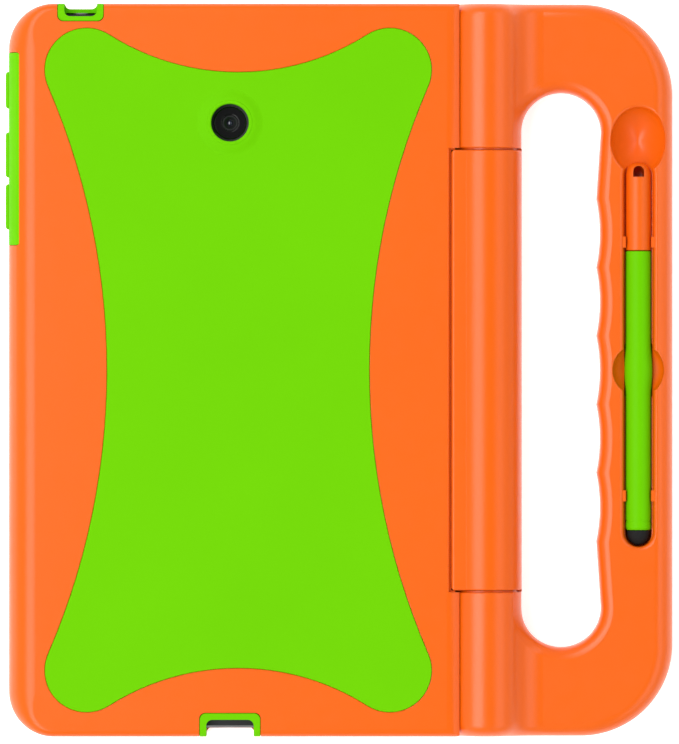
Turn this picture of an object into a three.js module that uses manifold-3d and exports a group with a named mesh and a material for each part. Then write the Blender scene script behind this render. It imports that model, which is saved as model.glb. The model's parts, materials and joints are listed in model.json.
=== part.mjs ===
// A child's tablet case with a folding carry handle, a stylus in the handle and a tablet in the case.
// Millimetres, +Z up. The case lies on its screen side: its back faces up, +Y is its top edge
// and the handle is on the +X side. The hinge axis runs along Y.

import * as THREE from 'three';
import { mergeVertices } from 'three/addons/utils/BufferGeometryUtils.js';
import Module from 'manifold-3d';

// Tablet
const tabletWidth = 110.4;
const tabletHeight = 190;
const tabletThickness = 9.6;
const tabletCorner = 9;
const tabletEdge = 2.2;
const glassThickness = 0.9;
const glassMargin = 1;
const displayThickness = 1.2;
const displayMarginX = 9;
const displayMarginY = 15;
const socketDepth = 7;
const socketWidth = 8.9;
const socketHeight = 3.2;
const socketWall = 0.35;
const tongueThickness = 0.7;
const tongueSetback = 0.8;
const tongueBlockHeight = 2;
const tongueBlockLength = 1.2;
const jackRadius = 2.7;
const jackBore = 1.75;
const jackDepth = 9;
const jackFloor = 1;
const keyProud = 0.5;
const keyDepth = 2;
const keyHeight = 2.6;
const keyInset = 1.6;
const keyCorner = 1;

// Camera, in the tablet's back
const cameraInset = 29.4;
const cameraWindowRadius = 4.3;
const cameraWindowThickness = 1.1;
const cameraWindowProud = 0.3;
const cameraBarrelRadius = 2.1;
const cameraBarrelHeight = 2;
const cameraBarrelFloor = 0.5;
const cameraPupilRadius = 0.75;
const cameraConeDepth = 0.7;
const lensSetback = 0.5;
const lensDome = 0.4;

// Case walls and clearances
const fitGap = 0.15;
const smallEdge = 0.3;
const past = 1;
const clearAbove = 30;
const frontLip = 2.5;
const backWall = 2.8;
const sideWall = 2.2;
const endWall = 1.2;
const pocketWall = 1.6;
const linerBack = 1.7;
const linerSide = 1.1;
const linerEnd = 0.7;
const caseCorner = 12;
const backRound = 7.4;
const frontRound = 3;
const endRound = 2;
const frontEdge = 1.2;
const shoulderRound = 5;
const shoulderReach = 5.9;
const partingZ = 3.4;
const lipCover = 5;
const screenCorner = 5;
const screenBevel = 1.4;

// Window in the case's back
const windowX = 2.2;
const windowReachX = 51.3;
const windowReachY = 90.7;
const windowWaistX = 34.8;
const windowWaistY = 79;
const windowLobe = 11.1;
const panelGap = 0.3;
const panelProud = 0.3;
const moundRadius = 9;
const moundHeight = 0.9;
const cameraHole = 5;
const cameraLipWidth = 1.2;
const cushionWall = 2.2;
const cushionRib = 2;
const cushionPitch = 19.4;
const cushionMargin = 5;

// Button strip and pads
const stripLength = 51;
const stripInset = 36.3;
const stripBackDrop = 1.5;
const stripFrontRise = 0.8;
const stripCorner = 3.4;
const padHeight = 4.6;
const padProud = 0.9;
const padGap = 0.3;
const padFlange = 0.6;
const padEdge = 0.5;
const padCorner = 1.7;
const keyTravel = 0.5;
const pressGap = 0.1;
const powerPadInset = 20.6;
const powerPadLength = 9.8;
const volumePadInset = 44.7;
const volumePadLength = 12.1;
const volumePadPitch = 13.8;

// Port frames of the liner
const chargePortWidth = 12.6;
const chargePortReach = 4.5;
const jackInset = 15.6;
const jackPortWidth = 8.7;
const jackPortReach = 3.4;
const portFrame = 1.7;
const jackFrame = 1.2;
const jackMouthGap = 0.4;
const portFloor = 1.2;
const portCorner = 1.6;

// Snap tabs of the front frame
const tabThickness = 0.9;
const tabWidth = 9;
const tabHeight = 3.6;
const tabBarb = 0.4;
const barbHeight = 1.4;
const tabRoot = 0.5;
const leftTabs = [-75, -40, -5];
const rightTabs = [-40, 0, 40];

// Hinge barrel
const barrelRadius = 9.4;
const barrelWall = 2.2;
const barrelEnd = 2.4;
const knuckleLength = 38.3;
const runningGap = 0.5;
const seamGap = 0.5;
const coverEdge = 1.2;
const coverEndEdge = 0.4;
const shaftRadius = 2.5;
const shaftGrip = 18;
const shaftFlat = 0.6;
const shaftEnd = 0.7;
const clipLength = 9;
const clipBand = 1.2;
const clipTail = 1.8;
const clipGap = 0.3;
const coverScrewInset = 22.4;
const saddleWall = 2;

// Handle
const handleReach = 49.5;
const handleThickness = 11.4;
const handleCorner = 24.4;
const handleBackRound = 5;
const handleFrontRound = 3;
const coveRadius = 10.3;
const heelReach = 5.5;
const openingNear = 9.3;
const openingInset = 34.1;
const gripBar = 20.2;
const gripStep = 1.2;
const grooveCount = 5;
const groovePitch = 18.2;
const grooveDepth = 0.95;

// Stylus and its channel
const stylusInset = 9.1;
const stylusRadius = 3.45;
const stylusEdge = 0.2;
const stylusDrop = 7.9;
const capLength = 23.4;
const gripLength = 74.3;
const bulge = 0.25;
const bulgeLength = 14;
const bulgeY = 0;
const tipLength = 4;
const eyeRadius = 1.4;
const eyeInset = 2.4;
const channelWidth = 8.3;
const channelDepth = 7;
const channelEndGap = 0.4;
const channelEdge = 1.2;
const nubWidth = 0.85;
const nubLength = 3;
const nubRoot = 3;
const nubTip = 0.7;
const nubDrop = 0.4;
const nubTopY = 34;
const nubLowY = -33.4;
const scoopDrop = 2.1;
const scoopReachX = 7.6;
const scoopReachY = 9.1;
const scoopDepth = 6.4;
const scoopRise = 1.5;
const dishRadius = 7.2;
const dishDepth = 4;

// Screws
const screwRadius = 1.1;
const screwHeadRadius = 2;
const screwHeadHeight = 1.3;
const screwSink = 0.5;
const screwPilot = 0.2;
const screwPoint = 0.8;
const headTaper = 0.4;
const recessReach = 0.75;
const recessWidth = 0.4;
const recessDepth = 0.8;
const coverScrewLength = 12;
const handleScrewLength = 6;
const cornerScrewX = 11.2;
const cornerScrewY = 14.6;
const armScrewInset = 2;

// Sizes that follow from the ones above
const linerOuterX = tabletWidth / 2 + fitGap + linerSide;
const linerOuterY = tabletHeight / 2 + fitGap + linerEnd;
const caseLeft = -(linerOuterX + fitGap + sideWall);
const halfHeight = linerOuterY + fitGap + endWall;
const tabletZ = frontLip + fitGap;
const tabletBack = tabletZ + tabletThickness;
const tabletMid = tabletZ + tabletThickness / 2;
const tabletTop = tabletHeight / 2;
const cameraY = tabletTop - cameraInset;
const jackPortX = jackInset - tabletWidth / 2;
const stripY = tabletTop - stripInset;
const powerPadY = tabletTop - powerPadInset;
const volumePadY = tabletTop - volumePadInset;
const linerTop = tabletBack + fitGap + linerBack;
const caseBack = linerTop + fitGap + backWall;
const panelTop = caseBack + panelProud;
const pocketRadius = barrelRadius + runningGap;
const axisX = linerOuterX + fitGap + pocketWall + pocketRadius;
const axisZ = barrelRadius;
const shoulderX = axisX - shoulderReach;
const knuckleInner = halfHeight - knuckleLength;
const coverHalf = knuckleInner - seamGap;
const coverScrewY = coverHalf - coverScrewInset;
const cavityCorner = tabletCorner + fitGap;
const openTop = caseBack + clearAbove;
const handleEdgeX = axisX + handleReach;
const gripX = handleReach - gripBar;
const openingRadius = (gripX + gripStep - openingNear) / 2;
const openingX = openingNear + openingRadius;
const openingY = halfHeight - openingInset;
const stylusX = handleReach - stylusInset;
const stylusTop = openingY - stylusDrop;
const scoopY = openingY - scoopDrop;
const channelFloor = handleThickness - channelDepth;
const stylusAxisX = axisX + stylusX;
const stylusAxisZ = channelFloor + fitGap + bulge + stylusRadius;
const capLow = stylusTop - capLength;
const gripLow = capLow - gripLength;
const padInner = -tabletWidth / 2 - keyProud - pressGap;
const boltDepth = screwSink + screwHeadHeight;

const wasm = await Module();
wasm.setup();

// Solids from three.js geometry, and back

function toSolid(geometry) {
  geometry.deleteAttribute('normal');
  geometry.deleteAttribute('uv');
  const merged = mergeVertices(geometry, 1e-4);
  const index = merged.index.array;
  const kept = [];
  for (let i = 0; i < index.length; i += 3) {
    const [a, b, c] = [index[i], index[i + 1], index[i + 2]];
    if (a !== b && b !== c && c !== a) kept.push(a, b, c);
  }
  return new wasm.Manifold(new wasm.Mesh({
    numProp: 3,
    vertProperties: new Float32Array(merged.attributes.position.array),
    triVerts: new Uint32Array(kept),
  }));
}

function toGeometry(solid) {
  const mesh = solid.getMesh();
  const geometry = new THREE.BufferGeometry();
  geometry.setAttribute('position', new THREE.BufferAttribute(mesh.vertProperties, 3));
  geometry.setIndex(new THREE.BufferAttribute(mesh.triVerts, 1));
  geometry.computeVertexNormals();
  return geometry;
}

function fuse(...solids) {
  return solids.reduce((whole, next) => whole.add(next));
}

function carve(solid, ...cutters) {
  return cutters.reduce((whole, cutter) => whole.subtract(cutter), solid);
}

// Basic forms

function box(x0, x1, y0, y1, z0, z1) {
  const geometry = new THREE.BoxGeometry(x1 - x0, y1 - y0, z1 - z0);
  geometry.translate((x0 + x1) / 2, (y0 + y1) / 2, (z0 + z1) / 2);
  return toSolid(geometry);
}

function roundedRect(x0, x1, y0, y1, radius) {
  const shape = new THREE.Shape();
  shape.moveTo(x0 + radius, y0);
  shape.lineTo(x1 - radius, y0);
  shape.absarc(x1 - radius, y0 + radius, radius, -Math.PI / 2, 0);
  shape.lineTo(x1, y1 - radius);
  shape.absarc(x1 - radius, y1 - radius, radius, 0, Math.PI / 2);
  shape.lineTo(x0 + radius, y1);
  shape.absarc(x0 + radius, y1 - radius, radius, Math.PI / 2, Math.PI);
  shape.lineTo(x0, y0 + radius);
  shape.absarc(x0 + radius, y0 + radius, radius, Math.PI, Math.PI * 1.5);
  return shape;
}

// A plan shape raised from z0 to z1, its edge rounded by `round` at both ends of the height.
function raised(shape, z0, z1, round = 0, segments = 2) {
  const geometry = new THREE.ExtrudeGeometry(shape, {
    depth: z1 - z0 - 2 * round,
    curveSegments: segments,
    bevelEnabled: round > 0,
    bevelThickness: round,
    bevelSize: round,
    bevelOffset: -round,
    bevelSegments: 2,
  });
  geometry.translate(0, 0, z0 + round);
  return toSolid(geometry);
}

// The same with its own rounding at the front (low) and back (high) edges.
function slab(shape, z0, z1, front, back, segments = 3) {
  const low = raised(shape, z0, z1 + back + past, front, segments);
  const high = raised(shape, z0 - front - past, z1, back, segments);
  return low.intersect(high);
}

// A section drawn in X and Z, run along Y.
function alongY(section, y0, y1, round = 0, segments = 3) {
  const geometry = new THREE.ExtrudeGeometry(section, {
    depth: y1 - y0 - 2 * round,
    curveSegments: segments,
    bevelEnabled: round > 0,
    bevelThickness: round,
    bevelSize: round,
    bevelOffset: -round,
    bevelSegments: 2,
  });
  geometry.rotateX(Math.PI / 2);
  geometry.translate(0, y1 - round, 0);
  return toSolid(geometry);
}

// A section drawn in Y and Z, run along X.
function alongX(section, x0, x1, round = 0, segments = 2) {
  const geometry = new THREE.ExtrudeGeometry(section, {
    depth: x1 - x0 - 2 * round,
    curveSegments: segments,
    bevelEnabled: round > 0,
    bevelThickness: round,
    bevelSize: round,
    bevelOffset: -round,
    bevelSegments: 1,
  });
  geometry.rotateX(Math.PI / 2);
  geometry.rotateZ(Math.PI / 2);
  geometry.translate(x0 + round, 0, 0);
  return toSolid(geometry);
}

function rodY(radius, y0, y1, x, z, sides = 24) {
  const geometry = new THREE.CylinderGeometry(radius, radius, y1 - y0, sides);
  geometry.translate(x, (y0 + y1) / 2, z);
  return toSolid(geometry);
}

function rodZ(radius, z0, z1, x, y, sides = 12) {
  const geometry = new THREE.CylinderGeometry(radius, radius, z1 - z0, sides);
  geometry.rotateX(Math.PI / 2);
  geometry.translate(x, y, (z0 + z1) / 2);
  return toSolid(geometry);
}

// A profile of [radius, height] points turned about the vertical through x, y.
function turned(profile, x, y, sides = 24) {
  const points = profile.map(([radius, height]) => new THREE.Vector2(radius, height));
  const geometry = new THREE.LatheGeometry(points, sides);
  geometry.rotateX(Math.PI / 2);
  geometry.translate(x, y, 0);
  return toSolid(geometry);
}

// A profile of [radius, place along Y] points turned about a line along Y.
function turnedY(profile, x, z, sides = 16) {
  const points = profile.map(([radius, place]) => new THREE.Vector2(radius, place));
  const geometry = new THREE.LatheGeometry(points, sides);
  geometry.translate(x, 0, z);
  return toSolid(geometry);
}

function ellipsoid(x, y, z, reachX, reachY, reachZ) {
  const geometry = new THREE.SphereGeometry(1, 24, 12);
  geometry.scale(reachX, reachY, reachZ);
  geometry.translate(x, y, z);
  return toSolid(geometry);
}

// Points along an arc, from one angle to another.
function arc(x, y, radius, from, to, steps) {
  const points = [];
  for (let i = 0; i <= steps; i += 1) {
    const angle = from + ((to - from) * i) / steps;
    points.push(new THREE.Vector2(x + radius * Math.cos(angle), y + radius * Math.sin(angle)));
  }
  return points;
}

// The case's outer form, shell and frame in one, without its pockets

function bodyForm() {
  const plan = new THREE.Shape();
  plan.moveTo(caseLeft + caseCorner, -halfHeight);
  plan.lineTo(axisX + barrelRadius, -halfHeight);
  plan.lineTo(axisX + barrelRadius, halfHeight);
  plan.lineTo(caseLeft + caseCorner, halfHeight);
  plan.absarc(caseLeft + caseCorner, halfHeight - caseCorner, caseCorner, Math.PI / 2, Math.PI);
  plan.lineTo(caseLeft, caseCorner - halfHeight);
  plan.absarc(caseLeft + caseCorner, caseCorner - halfHeight, caseCorner, Math.PI, Math.PI * 1.5);

  const section = new THREE.Shape();
  section.moveTo(caseLeft + frontRound, 0);
  section.lineTo(shoulderX, 0);
  section.lineTo(shoulderX, caseBack - shoulderRound);
  section.absarc(shoulderX - shoulderRound, caseBack - shoulderRound, shoulderRound, 0, Math.PI / 2);
  section.lineTo(caseLeft + backRound, caseBack);
  section.absarc(caseLeft + backRound, caseBack - backRound, backRound, Math.PI / 2, Math.PI);
  section.lineTo(caseLeft, frontRound);
  section.absarc(caseLeft + frontRound, frontRound, frontRound, Math.PI, Math.PI * 1.5);

  const slabForm = slab(plan, 0, caseBack, frontEdge, endRound, 4);
  return slabForm.intersect(alongY(section, -halfHeight - past, halfHeight + past));
}

// What the two knuckles turn in, at either end of the case's hinge side.
function knucklePockets() {
  const upper = rodY(pocketRadius, coverHalf, halfHeight + past, axisX, axisZ, 40);
  const lower = rodY(pocketRadius, -halfHeight - past, -coverHalf, axisX, axisZ, 40);
  return fuse(upper, lower);
}

function linerSpace(grow, z0, z1) {
  const shape = roundedRect(
    -linerOuterX - grow,
    linerOuterX + grow,
    -linerOuterY - grow,
    linerOuterY + grow,
    cavityCorner + linerSide + grow,
  );
  return raised(shape, z0, z1);
}

function tabletSpace(grow, z0, z1, round) {
  const shape = roundedRect(
    -tabletWidth / 2 - grow,
    tabletWidth / 2 + grow,
    -tabletHeight / 2 - grow,
    tabletHeight / 2 + grow,
    tabletCorner + grow,
  );
  return slab(shape, z0, z1, 0, round);
}

// The hourglass outline: four lobes joined by hollow arcs, moved outwards by `grow`.
function hourglass(grow) {
  const lobeX = windowReachX - windowLobe;
  const lobeY = windowReachY - windowLobe;
  const tangentRadius = (near, far, reach, waist) => (
    ((near - waist) ** 2 + far ** 2 - windowLobe ** 2) / (2 * (reach - waist))
  );
  const sideRadius = tangentRadius(lobeX, lobeY, windowReachX, windowWaistX);
  const endRadius = tangentRadius(lobeY, lobeX, windowReachY, windowWaistY);
  const sideX = windowWaistX + sideRadius;
  const endY = windowWaistY + endRadius;
  const toSide = Math.atan2(-lobeY, sideX - lobeX);
  const toEnd = Math.atan2(endY - lobeY, -lobeX);
  const quarter = [
    ...arc(sideX, 0, sideRadius - grow, Math.PI, toSide + Math.PI, 4),
    ...arc(lobeX, lobeY, windowLobe + grow, toSide, toEnd, 7).slice(1),
    ...arc(0, endY, endRadius - grow, toEnd - Math.PI, -Math.PI / 2, 4).slice(1),
  ];
  const mirrored = (points, x, y) => points.map((p) => new THREE.Vector2(p.x * x, p.y * y));
  const outline = [
    ...quarter,
    ...mirrored(quarter, -1, 1).reverse().slice(1),
    ...mirrored(quarter, -1, -1).slice(1),
    ...mirrored(quarter, 1, -1).reverse().slice(1, -1),
  ];
  return new THREE.Shape(outline.map((p) => p.add(new THREE.Vector2(windowX, 0))));
}

// The notch round a port: half of a rounded rectangle that runs out past the case's end.
function portNotch(x, width, reach, end, z0, z1) {
  const outer = halfHeight + portCorner + past;
  const inner = halfHeight - reach;
  const [y0, y1] = end > 0 ? [inner, outer] : [-outer, -inner];
  return raised(roundedRect(x - width / 2, x + width / 2, y0, y1, portCorner), z0, z1);
}

function stripSpace(grow) {
  const z0 = partingZ + stripFrontRise - grow;
  const z1 = caseBack - stripBackDrop + grow;
  const half = stripLength / 2 + grow;
  const outline = roundedRect(stripY - half, stripY + half, z0, z1, stripCorner + grow);
  return alongX(outline, caseLeft - past, -linerOuterX + tabRoot);
}

function chargeNotch(grow) {
  const width = chargePortWidth + 2 * (portFrame + grow);
  return portNotch(0, width, chargePortReach + portFrame + grow, -1, partingZ - past, openTop);
}

function jackNotch(grow) {
  const width = jackPortWidth + 2 * (portFrame + grow);
  return portNotch(jackPortX, width, jackPortReach + jackFrame + grow, 1, partingZ - past, openTop);
}

// Slots and tabs that hold the front frame in the shell

function snapTabs(grow) {
  const wall = linerOuterX + fitGap;
  const half = tabWidth / 2 + grow;
  const top = partingZ + tabHeight + grow;
  const barbLow = top - barbHeight - 2 * grow;
  const outer = wall + tabThickness + grow;
  const tab = (y) => fuse(
    box(wall, outer, y - half, y + half, partingZ - tabRoot, top),
    box(wall, outer + tabBarb, y - half, y + half, barbLow, top),
  );
  return fuse(...leftTabs.map((y) => tab(y).mirror([1, 0, 0])), ...rightTabs.map(tab));
}

// Screw positions, and the sections of the hinge barrel

function screwPlaces() {
  return [coverScrewY, 0, -coverScrewY];
}

function handleScrewPlaces() {
  const cornerX = handleReach - cornerScrewX;
  const cornerY = halfHeight - cornerScrewY;
  const armY = (halfHeight + openingY + openingRadius) / 2;
  const barX = (gripX + stylusX - channelWidth / 2) / 2;
  const half = [
    [openingX - armScrewInset, armY],
    [cornerX, cornerY],
    [barX, groovePitch * 1.5],
  ];
  return [...half, ...half.map(([x, y]) => [x, -y])];
}

// The room that a screw takes from the front: head recess, clearance and pilot hole.
function screwRoom(x, y, length) {
  return fuse(
    rodZ(screwHeadRadius + fitGap, -past, boltDepth + fitGap, x, y),
    rodZ(screwRadius + screwPilot, screwSink, boltDepth + length + smallEdge, x, y),
  );
}

function screw(x, y, length) {
  const profile = [
    [0, screwSink],
    [screwHeadRadius - headTaper, screwSink],
    [screwHeadRadius, boltDepth],
    [screwRadius, boltDepth],
    [screwRadius, boltDepth + length - screwPoint],
    [0, boltDepth + length],
  ];
  const half = recessWidth / 2;
  const z0 = screwSink - past;
  const z1 = screwSink + recessDepth;
  const cross = fuse(
    box(x - recessReach, x + recessReach, y - half, y + half, z0, z1),
    box(x - half, x + half, y - recessReach, y + recessReach, z0, z1),
  );
  return carve(turned(profile, x, y, 8), cross);
}

function clipRanges() {
  const outer = coverHalf - barrelEnd - seamGap;
  return [[outer - clipLength, outer], [-outer, clipLength - outer]];
}

// Posts for the cover screws, shared by the trough and the cover.
function coverPosts(z0, z1) {
  return fuse(...screwPlaces().map((y) => rodZ(screwRadius + barrelWall, z0, z1, axisX, y, 16)));
}

function barrelHollow() {
  return rodY(barrelRadius - barrelWall, barrelEnd - coverHalf, coverHalf - barrelEnd, axisX, axisZ);
}

function shaftHole() {
  return rodY(shaftRadius + clipGap, -coverHalf - past, coverHalf + past, axisX, axisZ, 20);
}

// The front half of the middle barrel, part of the rear shell.
function trough() {
  const left = linerOuterX + fitGap + pocketWall / 2;
  const section = new THREE.Shape();
  section.moveTo(left, partingZ);
  section.lineTo(shoulderX + fitGap, partingZ);
  section.lineTo(shoulderX + fitGap, 0);
  section.lineTo(axisX, 0);
  section.absarc(axisX, axisZ, barrelRadius, -Math.PI / 2, 0);
  section.lineTo(left, axisZ);
  const saddles = clipRanges().map(([y0, y1]) => {
    const half = clipTail / 2 + fitGap;
    const top = axisZ - shaftRadius - clipGap - clipBand - fitGap * 2;
    const reach = half + saddleWall;
    const block = box(axisX - reach, axisX + reach, y0, y1, barrelWall / 2, top);
    return carve(block, box(axisX - half, axisX + half, y0 - past, y1 + past, barrelWall, top + past));
  });
  return carve(
    fuse(
      carve(alongY(section, -coverHalf, coverHalf), barrelHollow()),
      coverPosts(barrelWall / 2, axisZ),
      ...saddles,
    ),
    shaftHole(),
    ...screwPlaces().map((y) => screwRoom(axisX, y, coverScrewLength)),
  );
}

// The space over the middle barrel that the cover fills, with a rounded edge to the case's back.
function coverRecess() {
  const side = axisX - pocketRadius;
  const section = new THREE.Shape();
  section.moveTo(side, axisZ);
  section.lineTo(axisX + barrelRadius * 2, axisZ);
  section.lineTo(axisX + barrelRadius * 2, openTop);
  section.lineTo(side - coverEdge, openTop);
  section.lineTo(side - coverEdge, caseBack);
  section.absarc(side - coverEdge, caseBack - coverEdge, coverEdge, Math.PI / 2, 0, true);
  return alongY(section, -knuckleInner, knuckleInner);
}

// Case pieces

function bodyBlock(z0, z1) {
  return box(caseLeft - past, handleEdgeX, -halfHeight - past, halfHeight + past, z0, z1);
}

function rearShell(body) {
  const upper = body.intersect(bodyBlock(partingZ, openTop));
  return carve(
    fuse(upper, trough()),
    coverRecess(),
    linerSpace(fitGap, partingZ - past, linerTop + fitGap),
    raised(hourglass(0), linerTop - past, openTop),
    stripSpace(fitGap),
    chargeNotch(fitGap),
    jackNotch(fitGap),
    snapTabs(fitGap),
  );
}

function screenOpening() {
  const x = tabletWidth / 2 - lipCover;
  const y = tabletHeight / 2 - lipCover;
  const outline = roundedRect(-x, x, -y, y, screenCorner);
  const flare = new THREE.ExtrudeGeometry(outline, {
    depth: past,
    curveSegments: 3,
    bevelEnabled: true,
    bevelThickness: screenBevel,
    bevelSize: screenBevel,
    bevelSegments: 1,
  });
  flare.translate(0, 0, -past);
  return fuse(raised(outline, -past, frontLip + past, 0, 3), toSolid(flare));
}

function frontFrame(body) {
  const ring = carve(
    body.intersect(bodyBlock(-past, partingZ - fitGap)),
    screenOpening(),
    linerSpace(fitGap, frontLip, partingZ + past),
    portNotch(0, chargePortWidth, halfHeight - tabletHeight / 2, -1, -past, openTop),
    portNotch(jackPortX, jackPortWidth, halfHeight - linerOuterY, 1, -past, openTop),
  );
  return fuse(ring, snapTabs(0));
}

function padSpace(y, length, grow, x0, x1) {
  const half = length / 2 + grow;
  const z = padHeight / 2 + grow;
  return alongX(roundedRect(y - half, y + half, tabletMid - z, tabletMid + z, padCorner), x0, x1);
}

function padPlaces() {
  return [
    ['power', powerPadY, powerPadLength],
    ['volume_up', volumePadY + volumePadPitch / 2, volumePadLength],
    ['volume_down', volumePadY - volumePadPitch / 2, volumePadLength],
  ];
}

// The low ring round the camera, with its raised lip.
function cameraMound() {
  const lip = cameraHole + cameraLipWidth;
  return turned([
    [0, linerTop],
    [moundRadius, linerTop],
    [moundRadius, panelTop],
    [(moundRadius + lip) / 2, panelTop + moundHeight * 0.4],
    [lip + smallEdge, panelTop + moundHeight * 0.55],
    [lip, panelTop + moundHeight],
    [0, panelTop + moundHeight],
  ], 0, cameraY, 24);
}

// Pockets in the liner's inner face, which leave crossing ribs that cushion the tablet.
function cushionPockets() {
  const pockets = [];
  const half = (cushionPitch - cushionRib) / 2;
  const columns = Math.floor((2 * windowReachX) / cushionPitch);
  const rows = Math.floor((2 * windowReachY) / cushionPitch);
  for (let i = 0; i < columns; i += 1) {
    for (let j = 0; j < rows; j += 1) {
      const x = windowX + (i - (columns - 1) / 2) * cushionPitch;
      const y = (j - (rows - 1) / 2) * cushionPitch;
      pockets.push(box(x - half, x + half, y - half, y + half, tabletBack, panelTop - cushionWall));
    }
  }
  const zone = raised(hourglass(-cushionMargin), tabletBack, openTop);
  const cameraRib = rodZ(moundRadius + cushionRib, 0, openTop, 0, cameraY, 24);
  return carve(fuse(...pockets).intersect(zone), cameraRib);
}

// The whole soft moulding. Its frame round the charging port is set as a piece of its own.
function softMoulding(body) {
  const outer = body.intersect(bodyBlock(partingZ + fitGap, openTop));
  const extras = outer.intersect(fuse(stripSpace(0), chargeNotch(0), jackNotch(0)));
  const slitZ = tabletMid + jackRadius + portFloor;
  const mouthReach = halfHeight - linerOuterY;
  return carve(
    fuse(
      linerSpace(0, tabletZ, linerTop),
      raised(hourglass(-panelGap), linerTop - past, panelTop, smallEdge),
      cameraMound(),
      extras,
    ),
    tabletSpace(fitGap, -past, tabletBack + fitGap, tabletEdge),
    cushionPockets(),
    rodZ(cameraHole, tabletBack - past, openTop, 0, cameraY, 24),
    portNotch(0, chargePortWidth, chargePortReach, -1, -past, openTop),
    portNotch(jackPortX, jackPortWidth, jackPortReach, 1, slitZ, openTop),
    portNotch(jackPortX, jackPortWidth, mouthReach, 1, -past, openTop),
    rodY(jackRadius + jackMouthGap, linerOuterY - portFrame, halfHeight + past, jackPortX, tabletMid, 16),
    ...padPlaces().map(([, y, length]) => fuse(
      padSpace(y, length, padGap, caseLeft - past, -tabletWidth / 2),
      padSpace(y, length, padGap + padFlange, padInner - padFlange - padGap, -tabletWidth / 2),
    )),
  );
}

function innerLiner(moulding) {
  return carve(moulding, chargeNotch(fitGap));
}

function chargePortFrame(moulding) {
  return moulding.intersect(chargeNotch(0));
}

function buttonPad(y, length) {
  const flange = padSpace(y, length, padFlange, padInner - padFlange, padInner);
  const half = length / 2;
  const z = padHeight / 2;
  const outline = roundedRect(y - half, y + half, tabletMid - z, tabletMid + z, padCorner);
  const outer = caseLeft - padProud;
  const stem = alongX(outline, outer, padInner + padEdge, padEdge);
  return fuse(stem, flange).intersect(box(outer, padInner, -halfHeight, halfHeight, 0, openTop));
}

// Tablet pieces

function keySpace(y, length, grow, x0, x1) {
  const half = length / 2 - keyInset + grow;
  const z = keyHeight / 2 + grow;
  return alongX(roundedRect(y - half, y + half, tabletMid - z, tabletMid + z, keyCorner), x0, x1);
}

function tabletKey(y, length) {
  const outer = -tabletWidth / 2 - keyProud;
  return keySpace(y, length, 0, outer, outer + keyProud + keyDepth - keyTravel - fitGap);
}

function tabletHousing() {
  const side = -tabletWidth / 2;
  const glassX = tabletWidth / 2 - glassMargin;
  const glassY = tabletHeight / 2 - glassMargin;
  const recess = roundedRect(-glassX, glassX, -glassY, glassY, tabletCorner - glassMargin);
  const displayX = tabletWidth / 2 - displayMarginX;
  const displayY = tabletHeight / 2 - displayMarginY;
  const displayTop = tabletZ + glassThickness + displayThickness + fitGap;
  const windowTop = tabletBack + cameraWindowProud;
  const windowLow = windowTop - cameraWindowThickness - fitGap;
  const barrelLow = windowTop - cameraBarrelHeight - fitGap;
  const jackEnd = tabletHeight / 2;
  return carve(
    tabletSpace(0, tabletZ, tabletBack, tabletEdge),
    raised(recess, tabletZ - past, tabletZ + glassThickness + fitGap),
    box(-displayX, displayX, -displayY, displayY, tabletZ, displayTop),
    rodZ(cameraWindowRadius + fitGap, windowLow, openTop, 0, cameraY, 24),
    rodZ(cameraBarrelRadius + fitGap, barrelLow, openTop, 0, cameraY, 20),
    socketOuter(fitGap, -tabletHeight / 2 - past),
    rodY(jackRadius + fitGap, jackEnd - jackDepth - fitGap, jackEnd + past, jackPortX, tabletMid, 16),
    ...padPlaces().map(([, y, length]) => keySpace(y, length, fitGap, side - past, side + keyDepth)),
  );
}

function socketOuter(grow, y0) {
  const halfX = socketWidth / 2 + grow;
  const halfZ = socketHeight / 2 + grow;
  const corner = socketHeight / 2 - smallEdge;
  const shape = roundedRect(-halfX, halfX, tabletMid - halfZ, tabletMid + halfZ, corner);
  return alongY(shape, y0, -tabletHeight / 2 + socketDepth + grow, 0, 2);
}

function usbShell() {
  const halfX = socketWidth / 2 - socketWall;
  const halfZ = socketHeight / 2 - socketWall;
  const shape = roundedRect(-halfX, halfX, tabletMid - halfZ, tabletMid + halfZ, halfZ - smallEdge);
  const y0 = -tabletHeight / 2;
  return carve(socketOuter(0, y0), alongY(shape, y0 - past, y0 + socketDepth - socketWall, 0, 2));
}

function usbTongue() {
  const y0 = -tabletHeight / 2;
  const blockTop = y0 + socketDepth - socketWall - fitGap;
  const halfX = socketWidth / 2 - socketHeight / 2;
  const thin = tongueThickness / 2;
  const thick = tongueBlockHeight / 2;
  return fuse(
    box(-halfX, halfX, y0 + tongueSetback, blockTop, tabletMid - thin, tabletMid + thin),
    box(-halfX, halfX, blockTop - tongueBlockLength, blockTop, tabletMid - thick, tabletMid + thick),
  );
}

function headphoneJack() {
  const top = tabletHeight / 2;
  return turnedY([
    [0, top - jackDepth],
    [jackRadius, top - jackDepth],
    [jackRadius, top],
    [jackBore, top],
    [jackBore, top - jackDepth + jackFloor],
    [0, top - jackDepth + jackFloor],
  ], jackPortX, tabletMid, 16);
}

function tabletGlass() {
  const x = tabletWidth / 2 - glassMargin - fitGap;
  const y = tabletHeight / 2 - glassMargin - fitGap;
  return raised(roundedRect(-x, x, -y, y, tabletCorner - glassMargin), tabletZ, tabletZ + glassThickness);
}

function displayPanel() {
  const x = tabletWidth / 2 - displayMarginX - fitGap;
  const y = tabletHeight / 2 - displayMarginY - fitGap;
  const z0 = tabletZ + glassThickness;
  return box(-x, x, -y, y, z0, z0 + displayThickness);
}

function cameraWindow() {
  const top = tabletBack + cameraWindowProud;
  const low = top - cameraWindowThickness;
  const bore = cameraBarrelRadius + fitGap;
  return turned([
    [bore, low],
    [cameraWindowRadius, low],
    [cameraWindowRadius, top - smallEdge],
    [cameraWindowRadius - smallEdge, top],
    [bore, top],
    [bore, low],
  ], 0, cameraY, 24);
}

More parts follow.
